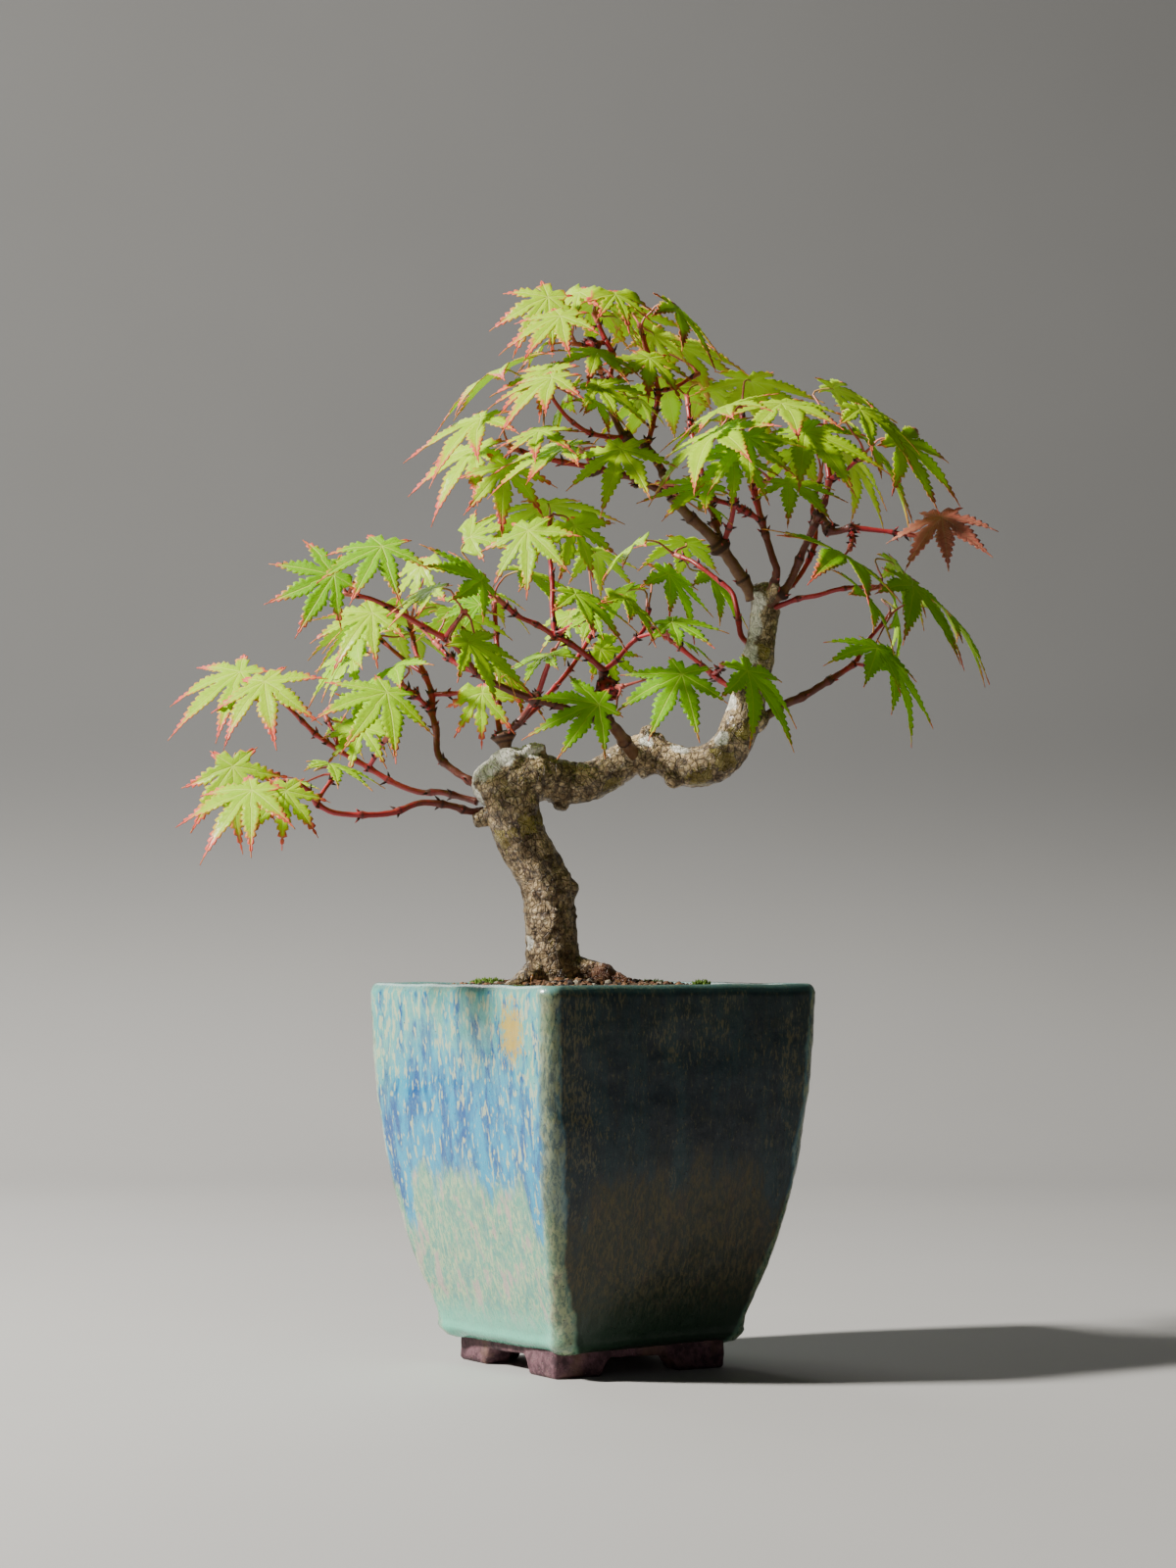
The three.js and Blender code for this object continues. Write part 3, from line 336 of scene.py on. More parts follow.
for half, corner, z, relief_share in sections:
    for point, normal in square_ring(half, corner):
        x, y = point
        from_corner = max(half - abs(x), half - abs(y))
        (wide, wide_size), (narrow, narrow_size) = BEAD_WAVES
        ragged = from_corner + wide * wave(x, y, z, wide_size)
        ragged += narrow * wave(x, y, z + 40, narrow_size)
        bead = max(0.0, 1 - (ragged / BEAD_HALF_WIDTH) ** 2)
        out = relief(x, y, z, POT_WAVES)
        (lump, lump_size), (crumb, crumb_size) = BEAD_LUMPS
        thick = BEAD_HEIGHT * (0.8 + lump * wave(x, y, z, lump_size))
        out += bead * (thick + crumb * wave(x, y, z, crumb_size))
        drip = bell(z - DRIP_LEVEL, DRIP_TALL) * bell(from_corner, DRIP_WIDE)
        roll = bell(z - ROLL_LEVEL - ROLL_WAVE[0] * wave(x, y, 0, ROLL_WAVE[1]), ROLL_TALL)
        out += DRIP_BULGE * drip + ROLL_BULGE * roll
        rise = RIM_WAVE[0] * wave(x, y, 300, RIM_WAVE[1]) * (z > RIM_LEVEL)
        sunk = DRIP_SAG * drip * (z < SAG_BELOW)
        pot_points.append((
            x + normal.x * out * relief_share, y + normal.y * out * relief_share, z + rise - sunk))
        pot_place.append((x, y, z))
        pot_edge.append(bead * (relief_share > 0.5))
        beside = bell(from_corner - RUN_FROM_CORNER, RUN_WIDTH)
        ochre = bell(y - OCHRE_AT[0], OCHRE_REACH[0]) * bell(z - OCHRE_AT[1], OCHRE_REACH[1])
        pot_sides.append((-y / half, beside, ochre * (x < LEFT_FACE * half)))
around = 4 * (SIDE_POINTS + CORNER_POINTS)

glaze = Finish("runny_blue_glaze", IOR=1.5, Coat_Roughness=0.12, Coat_IOR=1.5)
at = glaze.place("pot_at")
height = glaze.parts(at)[2]
facing_right, beside_bead, ochre_patch = glaze.parts(glaze.place("sides"))
streaks = glaze.stretched(at, (1, 1, 0.16))
dashes = glaze.stretched(at, (1, 1, 0.30))
drifts = glaze.stretched(at, (1, 1, 0.34))
big = glaze.cloud(at, 0.026, 3.0)
runs = glaze.cloud(streaks, 0.11, 4.0, 0.6)
fine_runs = glaze.cloud(dashes, 0.75, 5.0, 0.7, 0.6)
fleck = glaze.cloud(drifts, 1.1, 4.0, 0.65)
blotch = glaze.cloud(drifts, 0.2, 4.0, 0.6, 0.6)
drops = glaze.cloud(drifts, 0.55, 2.0, 0.5)
top_edge = height + (runs - 0.5) * 46 + (big - 0.5) * 30 + beside_bead * 20
pale = glaze.step(top_edge, 104, 142)
# in each coat below: the value, where it starts and where it is full, its strength, its colour
# the ground: mint at the foot, mottled seafoam up to the middle
ground = glaze.layers(
    (0.10, 0.36, 0.26),
    (fine_runs, 0.40, 0.66, 1, (0.46, 0.56, 0.30)),
    (blotch, 0.52, 0.64, 0.7, (0.50, 0.34, 0.33)),
    (blotch, 0.50, 0.36, 0.6, (0.08, 0.27, 0.26)),
    (height, 30, 14, 1, (0.15, 0.56, 0.40)))
# the blue that ran down over it
pale_blue = glaze.mix(fleck, (0.05, 0.27, 0.25), (0.22, 0.56, 0.48))
cream = glaze.mix(fine_runs, (0.20, 0.42, 0.34), (0.70, 0.62, 0.30))
blue = glaze.layers(
    (0.002, 0.080, 0.27),
    (runs * 0.5 + blotch * 0.5, 0.40, 0.58, 1, (0.010, 0.31, 0.52)),
    (fleck, 0.56, 0.68, 0.5, (0.22, 0.42, 0.46)),
    (blotch, 0.3, 0.6, pale, pale_blue),
    (drops + pale * 0.05, 0.565, 0.645, 0.8, cream),
    (fine_runs, 0.36, 0.30, 0.6, (0.06, 0.22, 0.24)),
    (ochre_patch + (fleck - 0.5) * 2.2, 0.45, 0.8, 0.9, (0.50, 0.34, 0.05)))
# the face to the right of the near corner took a darker fire, and is darkened much further with painted
# shade, as if it were turned from the light
edge = glaze.level("edge")
fired_and_shaded_face = glaze.step(facing_right, 0.88, 0.97) * glaze.step(edge, 0.9, 0.1)
fired_and_shaded_low = glaze.layers(
    (0.008, 0.008, 0.003),
    (fine_runs, 0.42, 0.64, 1, (0.080, 0.058, 0.018)),
    (height, 42, 18, 1, (0.011, 0.020, 0.009)))
olive_here = glaze.step(big + (blotch - 0.5) * 0.6 + pale * 0.12, 0.50, 0.66)
fired_and_shaded_high = glaze.layers(
    (0.002, 0.007, 0.008),
    (runs, 0.4, 0.7, 1, (0.006, 0.020, 0.020)),
    (fleck + olive_here * 0.12, 0.58, 0.70, 0.85, (0.085, 0.072, 0.030)))
dark = glaze.layers(fired_and_shaded_low, (top_edge, 70, 84, 1, fired_and_shaded_high))
# the bead at the corners, the drips and the rim
# the olive of the bead on the right flank is partly its own colour and partly painted shade
olive_and_shade = glaze.layers((0.035, 0.042, 0.016), (fine_runs, 0.40, 0.60, 1, (0.21, 0.22, 0.085)))
bead_tone = glaze.layers(
    (0.10, 0.26, 0.17),
    (blotch, 0.40, 0.62, 1, (0.48, 0.52, 0.36)),
    (blotch, 0.46, 0.38, 0.7, (0.13, 0.15, 0.05)),
    (fine_runs, 0.50, 0.36, 0.6, (0.05, 0.07, 0.022)),
    (facing_right + (blotch - 0.5) * 0.3, 0.84, 0.96, 0.85, olive_and_shade))
rim_tone = glaze.mix(fleck, (0.07, 0.25, 0.24), (0.20, 0.36, 0.30))
body = glaze.layers(ground, (top_edge, 70, 80, 1, blue))
# painted shade: on the right face the glaze gives way to its dark copy
body = glaze.mix(fired_and_shaded_face * 0.97, body, dark)
# the pale rim line fades on the right face, as part of its painted shade
body = glaze.layers(
    body,
    (edge, 0.15, 0.75, 0.85, bead_tone),
    (height, 146.2, 148.6, 0.8 - 0.5 * fired_and_shaded_face, rim_tone))
pits = glaze.step(glaze.cells(at, 0.30), 0.085, 0.05)
body = glaze.mix(pits * 0.75, body, (0.07, 0.045, 0.03))
body = glaze.layers(body, (height, 143.8, 143.0, glaze.level("inside"), (0.11, 0.055, 0.045)))
glaze.feed("Base Color", body)
dry = 0.22 * glaze.step(fine_runs, 0.4, 0.7)
glaze.feed("Roughness", 0.20 + dry + 0.3 * pits + 0.15 * fired_and_shaded_face)
glaze.feed("Coat Weight", 0.45 - 0.4 * pits - 0.4 * fired_and_shaded_face)
glaze.bump(fine_runs * 0.35 + blotch * 0.5 - pits * 1.6 + glaze.cloud(at, 0.5) * 0.3, 0.32)

bare_rings = {*range(len(UNDERSIDE_RINGS)), *range(inside_from, len(sections))}
pot_inside = [float(i // around in bare_rings) for i in range(len(pot_points))]
pot_body = make_piece(
    "pot_body", from_pot(pot_points), ring_faces(len(sections), around, True), [glaze],
    {"pot_at": pot_place, "edge": pot_edge, "sides": pot_sides, "inside": pot_inside})
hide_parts("pot")
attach(pot_body, "root")


# The foot ring. Bare purple-brown clay with coarse grog in it, luted to the floor a
# little askew, with an arch cut through each side so that it stands on four corner feet.
FOOT_TURN = math.radians(-4.4)
FOOT_OUTER = 38.3
FOOT_INNER = 27
FOOT_TOP = 11.5
ARCH_HEIGHT = 6.8
ARCH_FOOT_WIDTH = 36
ARCH_TOP_WIDTH = 27
FOOT_BOTTOM = 0.4
# the cutters reach past the clay on every side
WELL_BOTTOM = -5
WELL_TOP = 30
ARCH_BOTTOM = -0.5
ARCH_REACH = 60
CLAY_VOXEL = 0.8
CLAY_WAVES = ((0.5, 13), (0.32, 3.4))
FLAT_BELOW = 0.9
GROUND_BELOW = 0.6


def block(name, low, high, top_shrink=(1, 1)):
    """A box in millimetres, whose top may be narrower than its foot."""
    points = []
    for z, shrink in ((low[2], (1, 1)), (high[2], top_shrink)):
        for x, y in (low[:2], (high[0], low[1]), high[:2], (low[0], high[1])):
            points.append((x * shrink[0], y * shrink[1], z))
    faces = [(3, 2, 1, 0), (4, 5, 6, 7), (0, 1, 5, 4), (1, 2, 6, 5), (2, 3, 7, 6), (3, 0, 4, 7)]
    return make_piece(name, points, faces, [])


def worked(source, modifiers):
    """The mesh of an object after modifiers, with the object itself removed."""
    for kind, settings in modifiers:
        modifier = source.modifiers.new(kind, kind)
        for key, value in settings.items():
            setattr(modifier, key, value)
    graph = bpy.context.evaluated_depsgraph_get()
    mesh = bpy.data.meshes.new_from_object(source.evaluated_get(graph))
    bpy.data.objects.remove(source)
    return mesh


foot_block = block(
    "foot_block", (-FOOT_OUTER, -FOOT_OUTER, FOOT_BOTTOM), (FOOT_OUTER, FOOT_OUTER, FOOT_TOP))
well = block("well", (-FOOT_INNER, -FOOT_INNER, WELL_BOTTOM), (FOOT_INNER, FOOT_INNER, WELL_TOP))
arch_share = ARCH_TOP_WIDTH / ARCH_FOOT_WIDTH
arch_half = ARCH_FOOT_WIDTH / 2
arch_x = block(
    "arch_x", (-ARCH_REACH, -arch_half, ARCH_BOTTOM), (ARCH_REACH, arch_half, ARCH_HEIGHT),
    (1, arch_share))
arch_y = block(
    "arch_y", (-arch_half, -ARCH_REACH, ARCH_BOTTOM), (arch_half, ARCH_REACH, ARCH_HEIGHT),
    (arch_share, 1))
foot_mesh = worked(foot_block, [
    *(("BOOLEAN", {"object": cutter, "solver": "EXACT"}) for cutter in (well, arch_x, arch_y)),
    ("REMESH", {"mode": "VOXEL", "voxel_size": CLAY_VOXEL}),
    ("SMOOTH", {"factor": 0.5, "iterations": 3}),
])
for cutter in (well, arch_x, arch_y):
    bpy.data.objects.remove(cutter)
foot_points, foot_place = [], []
for vertex in foot_mesh.vertices:
    x, y, z = vertex.co
    if z > FLAT_BELOW:
        moved = vertex.co + vertex.normal * relief(x, y, z, CLAY_WAVES)
    else:
        moved = Vector((x, y, 0.0 if z < GROUND_BELOW else z))
    foot_points.append(Matrix.Rotation(FOOT_TURN, 3, "Z") @ moved)
    foot_place.append((x, y, z))

clay = Finish("bare_clay", IOR=1.45)
at = clay.place("pot_at")
grog = clay.cells(at, 0.75)
coarse = clay.cloud(at, 0.28, 5.0, 0.65)
tone = clay.layers(
    (0.050, 0.020, 0.028),
    (coarse, 0.36, 0.66, 1, (0.17, 0.080, 0.098)),
    (clay.cloud(at, 0.08), 0.5, 0.7, 0.6, (0.20, 0.11, 0.08)),
    (grog, 0.17, 0.10, 0.7, (0.34, 0.26, 0.22)))
clay.feed("Base Color", tone)
clay.feed("Roughness", 0.62 + 0.25 * coarse)
clay.bump(coarse + clay.step(grog, 0.3, 0.1) * 0.5, 0.4)
foot_ring = make_piece(
    "foot_ring", from_pot(foot_points), [tuple(f.vertices) for f in foot_mesh.polygons], [clay],
    {"pot_at": foot_place})
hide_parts("pot")
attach(foot_ring, "root")


# The drain screen. A square of black plastic mesh that lies over the drain hole, so that
# the soil stays in.
SCREEN_HALF = 11
SCREEN_AT = 17.8
STRAND = 0.45
STRAND_PITCH = 2.2
STRAND_STOPS = 9
OVER = 0.25
UNDER = -0.05


def tube_mesh(stops, radii, sides):
    """Points and faces of a closed round tube through the stops, without twist."""
    stops = [Vector(stop) for stop in stops]
    points = []
    last = None
    for index, stop in enumerate(stops):
        before, after = stops[max(index - 1, 0)], stops[min(index + 1, len(stops) - 1)]
        tangent = (after - before).normalized()
        if last is None:
            helper = Vector((0, 1, 0)) if abs(tangent.z) > 0.8 else Vector((0, 0, 1))
            normal = tangent.cross(helper).normalized()
        else:
            normal = (last.rotation_difference(tangent) @ normal).normalized()
        normal = (normal - tangent * normal.dot(tangent)).normalized()
        across = tangent.cross(normal)
        last = tangent
        for side in range(sides):
            angle = 2 * math.pi * side / sides
            spoke = normal * math.cos(angle) + across * math.sin(angle)
            points.append(stop + spoke * radii[index])
    return points, ring_faces(len(stops), sides, False)


class Heap:
    """Gathers the meshes of one piece, with the values stored on their points."""

    def __init__(self, *layers):
        self.points, self.faces, self.finish = [], [], []
        self.layers = {layer: [] for layer in layers}

    def add(self, points, faces, finish=0, **values):
        base = len(self.points)
        self.points.extend(points)
        self.faces.extend(tuple(base + corner for corner in face) for face in faces)
        self.finish.extend([finish] * len(faces))
        for layer, stored in self.layers.items():
            given = values[layer]
            one_for_all = isinstance(given, (float, tuple))
            stored.extend([given] * len(points) if one_for_all else given)

    def make(self, name, finishes, points=None, smooth=True):
        return make_piece(
            name, self.points if points is None else points, self.faces, finishes, self.layers,
            self.finish, smooth)


mesh_plastic = Finish("black_plastic", Roughness=0.55, IOR=1.46)
grain = mesh_plastic.cloud(mesh_plastic.place("pot_at"), 1.4)
mesh_plastic.feed("Base Color", mesh_plastic.mix(grain, (0.012, 0.013, 0.014), (0.03, 0.03, 0.032)))
mesh_plastic.bump(grain, 0.05)
screen = Heap("pot_at")
strands = int(SCREEN_HALF / STRAND_PITCH)
for row in range(-strands, strands + 1):
    for swap in (False, True):
        line = []
        for end in np.linspace(-SCREEN_HALF, SCREEN_HALF, STRAND_STOPS):
            x, y = (row * STRAND_PITCH, end) if swap else (end, row * STRAND_PITCH)
            line.append((x, y, SCREEN_AT + (OVER if swap else UNDER)))
        points, faces = tube_mesh(line, [STRAND] * STRAND_STOPS, 6)
        screen.add(points, faces, pot_at=points)
drain_mesh = screen.make("drain_mesh", [mesh_plastic], from_pot(screen.points))
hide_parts("drain_screen")
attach(drain_mesh, "root")


# The soil. Fired clay grains, pumice and a little bark, packed to just under the rim and
# mounded up to the trunk.
SOIL_AT_WALL = 145.5
SOIL_GAP = 0.3
TRUNK_FOOT = Vector((-13, 0))
MOUND = [
    # distance in from the wall as a share, rise
    (0, 0.0), (0.2, 1.6), (0.5, 3.8), (0.74, 5.0), (1, 5.4),
]
SOIL_LEVELS = (18.4, 35, 67, 100, 130)
SOIL_SQUARES = 44
SMALLEST_SQUARE = 0.02
SMALLEST_CORNER = 0.4
GRAINS = 1500
GRAIN_SIZES = (0.7, 1.9)
GRAIN_FROM_WALL = 1.5
GRAIN_FROM_TRUNK = 9
GRAIN_LIFT = 0.35
GRAIN_FLAT = ((0.75, 1.25), (0.75, 1.2), (0.6, 1.0))
GRAIN_ROUGH = (0.85, 1.12)
GRAIN_SHADE = (0.75, 1.2)
ANY_TURN = (0, 6.28)
GRAIN_TONES = [
    # colour, how often
    ((0.30, 0.15, 0.07), 5), ((0.20, 0.10, 0.055), 4), ((0.42, 0.36, 0.27), 2),
    ((0.06, 0.045, 0.04), 3), ((0.12, 0.07, 0.04), 3),
]
draw = random.Random(41)
foot_in_pot = Matrix.Rotation(-POT_TURN, 2) @ TRUNK_FOOT


def soil_height(share):
    """Height of the soil where the share is 1 at the wall and 0 at the trunk."""
    return SOIL_AT_WALL + np.interp(1 - share, [s for s, _ in MOUND], [r for _, r in MOUND])


def ball(subdivisions, radius):
    """Points and faces of a ball about the origin."""
    shape = bmesh.new()
    bmesh.ops.create_icosphere(shape, subdivisions=subdivisions, radius=radius)
    points = [v.co.copy() for v in shape.verts]
    faces = [tuple(v.index for v in f.verts) for f in shape.faces]
    shape.free()
    return points, faces


soil_points = []
for z in SOIL_LEVELS:
    soil_points += [(*p, z) for p, _ in square_ring(half_at(z) - WALL - SOIL_GAP, INNER_CORNER)]
top_half = half_at(SOIL_AT_WALL) - WALL - SOIL_GAP
for share in np.linspace(1, SMALLEST_SQUARE, SOIL_SQUARES):
    for point, _ in square_ring(top_half * share, max(SMALLEST_CORNER, INNER_CORNER * share)):
        x, y = point + foot_in_pot * (1 - share)
        bumps = 0.8 * wave(x, y, 7, 4.2) + 0.5 * wave(x, y, 3, 1.8)
        soil_points.append((x, y, soil_height(share) + bumps * min(1, (1 - share) * 20)))
soil_faces = ring_faces(len(SOIL_LEVELS) + SOIL_SQUARES, around, False)

loam = Finish("damp_loam", IOR=1.4)
at = loam.place("pot_at")
crumbs = loam.cells(at, 0.55)
tone = loam.mix(loam.cloud(at, 0.3, 5.0, 0.7), (0.035, 0.022, 0.014), (0.16, 0.09, 0.05))
loam.feed("Base Color", tone)
loam.feed("Roughness", 0.8 + 0.15 * crumbs)
loam.bump(crumbs * -1.0 + loam.cloud(at, 1.2, 4.0), 0.8)
grit = Finish("soil_grains", IOR=1.4)
at = grit.place("pot_at")
speck = grit.cloud(at, 1.6, 4.0, 0.7)
grit.feed("Base Color", grit.mix(
    grit.step(speck, 0.3, 0.75) * 0.6, grit.place("tone"), (0.10, 0.07, 0.05), "MULTIPLY"))
grit.feed("Roughness", 0.75 + 0.2 * speck)
grit.bump(speck, 0.25)

soil = Heap("pot_at", "tone")
soil.add(soil_points, soil_faces, 0, pot_at=soil_points, tone=(0.1, 0.06, 0.04))
grain_points, grain_faces = ball(1, 1)
grain_tones = [tone for tone, weight in GRAIN_TONES for _ in range(weight)]


def grain_at(x, y, size, tone):
    share = max(abs(x - foot_in_pot.x), abs(y - foot_in_pot.y)) / top_half
    share = min(1.0, max(abs(x), abs(y), share * top_half * 0.97) / top_half)
    spin = Matrix.Rotation(draw.uniform(*ANY_TURN), 3, "X")
    spin = spin @ Matrix.Rotation(draw.uniform(*ANY_TURN), 3, "Z")
    centre = Vector((x, y, soil_height(share) + size * GRAIN_LIFT))
    stretch = Vector([draw.uniform(*sizes) for sizes in GRAIN_FLAT])
    points = [
        centre + spin @ (p * stretch * size * draw.uniform(*GRAIN_ROUGH)) for p in grain_points]
    shade = draw.uniform(*GRAIN_SHADE)
    soil.add(points, grain_faces, 1, pot_at=points, tone=tuple(shade * c for c in tone))


grain_reach = top_half - GRAIN_FROM_WALL
for _ in range(GRAINS):
    x = draw.uniform(-grain_reach, grain_reach)
    y = draw.uniform(-grain_reach, grain_reach)
    if math.hypot(x - foot_in_pot.x, y - foot_in_pot.y) > GRAIN_FROM_TRUNK:
        grain_at(x, y, draw.uniform(*GRAIN_SIZES), draw.choice(grain_tones))
soil_bed = soil.make("soil_bed", [loam, grit], from_pot(soil.points), smooth=False)
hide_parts("soil")
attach(soil_bed, "root")


# Moss. Small cushions of short green shoots at the rim and round the roots, and one
# capsule on its red thread.
MOSS_PATCHES = [
    # pot frame x, y, radius, number of shoots
    (-36, -53, 5.0, 190), (-8, -50, 3.0, 70), (-50, -20, 4.5, 150), (14, 40, 8.0, 330),
    (40, 12, 6.0, 220), (-30, 30, 6.5, 240), (30, -34, 3.2, 80), (48, 46, 5.0, 150),
]
MOSS_LENGTH = (1.2, 3.0)
MOSS_WIDTH = (0.28, 0.5)
MOSS_LEAN = (-0.5, 0.5)
CUSHION_RISE = 1.4
CAPSULE_AT = Vector((-52, -34, 145))
THREAD_LENGTH = 8
THREAD_RADIUS = 0.16
CAPSULE = [((0.3, 0, 0.5), 0.5), ((0.6, 0, 1.1), 0.62), ((0.8, 0, 1.9), 0.2)]
moss = Finish("moss", Roughness=0.7, IOR=1.4)
at = moss.place("pot_at")
fresh = moss.mix(moss.cloud(at, 0.5), (0.055, 0.13, 0.012), (0.20, 0.32, 0.03))
moss.feed("Base Color", moss.mix(moss.level("tip"), (0.03, 0.055, 0.01), fresh))
thread = Finish("moss_thread", Roughness=0.4)
thread.feed("Base Color", thread.mix(
    thread.cloud(thread.place("pot_at"), 0.8), (0.20, 0.05, 0.02), (0.30, 0.16, 0.03)))
cushions = Heap("pot_at", "tip")
for x, y, radius, count in MOSS_PATCHES:
    for _ in range(count):
        turn, reach = draw.uniform(0, 2 * math.pi), radius * math.sqrt(draw.random())
        px, py = x + reach * math.cos(turn), y + reach * math.sin(turn)
        if max(abs(px), abs(py)) > top_half - 0.5:
            continue
        rise = CUSHION_RISE * (1 - (reach / radius) ** 2)
        share = max(abs(px), abs(py)) / top_half
        base = Vector((px, py, soil_height(share) - 0.5))
        length = draw.uniform(*MOSS_LENGTH) + rise
        lean = Vector((draw.uniform(*MOSS_LEAN), draw.uniform(*MOSS_LEAN), 1)).normalized()
        width = draw.uniform(*MOSS_WIDTH)
        stops = [base, base + lean * length * 0.6, base + lean * length]
        points, faces = tube_mesh(stops, [width, width * 1.2, 0.06], 4)
        cushions.add(points, faces, pot_at=points, tip=[0.2] * 4 + [0.8] * 4 + [1.0] * 4)
seta = [CAPSULE_AT + Vector((0.06 * up ** 1.3, 0.03 * up, up)) for up in range(THREAD_LENGTH)]
seta += [seta[-1] + Vector(step) for step, _ in CAPSULE]
radii = [THREAD_RADIUS] * THREAD_LENGTH + [radius for _, radius in CAPSULE]
points, faces = tube_mesh(seta, radii, 6)
cushions.add(points, faces, 1, pot_at=points, tip=1.0)
moss_piece = cushions.make("moss", [moss, thread], from_pot(cushions.points))
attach(moss_piece, "root")


# The trunk. Old maple wood, bent twice under wire, with corky grey-brown bark that
# breaks to mustard-green on the undersides, pale lichen on the lit side with painted highlight
# in its crust, knobs and cut stubs where branches were taken off, and surface roots that dive into the
# soil.
TRUNK_LINE = [
    # x, y, z, half thickness
    (-12, 0, 130, 9.8), (-13, 0, 139, 12.5), (-13, 0, 151, 12.6), (-15, -1, 161, 11),
    (-16, -1, 172, 10.5), (-17, -2, 186, 11), (-22, -4, 198, 10.2), (-28, -6, 209, 10.6),
    (-31, -7, 219, 11), (-29, -6, 228, 11), (-21, -3, 232, 10.2), (-11, 2, 230, 9),
    (0, 5, 231, 8.2), (8, 6, 235, 8.2), (15, 6, 240, 7.8), (21, 5, 242, 7.8), (29, 3, 240, 7.4),
    (36, 1, 236, 8.2), (45, -1, 236, 8.8), (54, -2, 242, 8.6), (60, -1, 253, 8.2),
    (63, 1, 264, 7.4), (66, 3, 274, 6.8), (68, 4, 287, 6.2), (70, 4, 300, 6.4), (68, 3, 310, 4.4),
]
BURLS = [
    # x, y, z, radius
    (-38, -7, 229, 9.5), (-32, -6, 235, 9), (-9, -2, 187, 4.7), (66, -1, 255, 5.5),
    (70, 2, 305, 5.6), (-24, -12, 221, 3.4), (27, 3, 247, 3.2), (-20, -11, 203, 3.2),
    (33, -3, 231, 4.0), (57, -7, 246, 4.0), (-14, -11, 178, 2.6), (5, -8, 153, 5.4),
]
CUT_STUBS = [
    ((-21, -3, 238), (-20, -5, 245), 2.8), ((-40, -8, 216), (-46, -9, 214), 2.6),
    ((-12, 2, 226), (-12, 1, 219), 2.8), ((20, 4, 239), (23, 3, 232), 3.2),
    ((-24, -6, 240), (-25, -8, 244), 2.2), ((23, 4, 247), (22, 2, 252), 2.4),
    ((71, -1, 303), (74, -6, 309), 2.2), ((60, -4, 262), (58, -8, 268), 2.0),
]
ROOTS = [
    ((-10, -3, 157), (0, -6, 155), (8, -8, 152), (16, -9, 148), (24, -11, 143)),
    ((-18, -3, 157), (-24, -10, 153), (-30, -16, 149), (-37, -22, 144)),
    ((-14, 4, 157), (-16, 14, 152), (-18, 24, 148), (-20, 34, 143)),
    ((-8, 3, 157), (0, 12, 152), (6, 20, 148), (12, 28, 143)),
]
ROOT_THICK = (5.4, 2.2)
TRUNK_VOXEL = 0.72
UNDER_BARK = 0.4
PLATE_STRETCH = 0.55
PLATE_WAVES = ((1, 2.6), (0.7, 1.3))
SWELL_WAVES = ((1.1, 11), (0.5, 5))
RING_FOLDS = [
    # run along the trunk, reach
    (48, 30), (118, 16),
]
# where the foot is low and on its right, the bark turns a darker red-brown: partly its own red, partly
# painted shade away from the light
RED_AND_SHADE_BELOW = 161
RED_AND_SHADE_RIGHT_OF = -4
MUSTARD = [
    # x, y, z, radius: smooth green-yellow bark
    (43, -8, 229, 7), (9, 0, 227, 6.5), (-26, -14, 212, 6), (-34, -12, 208, 5), (54, -9, 238, 6),
    (60, -7, 250, 5), (-20, -10, 216, 5), (50, 4, 232, 7), (4, 10, 228, 6), (-20, 6, 212, 8),
    (68, -3, 282, 4), (-14, 8, 176, 7),
]
LICHEN_AND_HIGHLIGHT = [
    # x, y, z, radius: silvery crust of lichen, brightened as a painted highlight on the lit side
    (-41, -8, 235, 10), (-36, -12, 241, 8), (-46, -6, 224, 8), (62, -3, 292, 8), (63, -3, 302, 8),
    (62, 0, 280, 7), (-25, -8, 244, 7), (-44, 4, 232, 9), (54, -4, 262, 5), (22, -3, 248, 5),
    (-27, -8, 166, 5), (52, -8, 247, 4), (36, -4, 246, 6), (-12, -6, 243, 5),
]


def blend_at(first, second, start, end, at):
    return (first * (end - at) + second * (at - start)) / (end - start)


def smooth_route(route, step):
    """Even stops along a smooth curve through the route, and for each its place and its run."""
    p = [Vector(q[:3]) for q in route]
    p = [p[0] * 2 - p[1], *p, p[-1] * 2 - p[-2]]
    fine, place = [], []
    for i in range(1, len(p) - 2):
        t = [0.0]
        for k in range(3):
            t.append(t[-1] + max((p[i + k] - p[i + k - 1]).length, 1e-6) ** 0.5)
        for s in np.linspace(t[1], t[2], 13)[:-1]:
            a = [blend_at(p[i - 1 + k], p[i + k], t[k], t[k + 1], s) for k in range(3)]
            b = [blend_at(a[k], a[k + 1], t[k], t[k + 2], s) for k in range(2)]
            fine.append(blend_at(b[0], b[1], t[1], t[2], s))
            place.append(i - 1 + (s - t[1]) / (t[2] - t[1]))
    fine.append(p[-2])
    place.append(len(p) - 3)
    lengths = np.concatenate([[0], np.cumsum([(b - a).length for a, b in zip(fine, fine[1:])])])
    count = max(2, round(lengths[-1] / step) + 1)
    at = np.linspace(0, lengths[-1], count)
    flat = np.array([tuple(q) for q in fine])
    stops = np.stack([np.interp(at, lengths, flat[:, axis]) for axis in range(3)], axis=1)
    return [Vector(q) for q in stops], np.interp(at, lengths, place), at


def routed_tube(route, radii, step, sides):
    stops, place, _ = smooth_route(route, step)
    return tube_mesh(stops, np.interp(place, range(len(radii)), radii), sides)


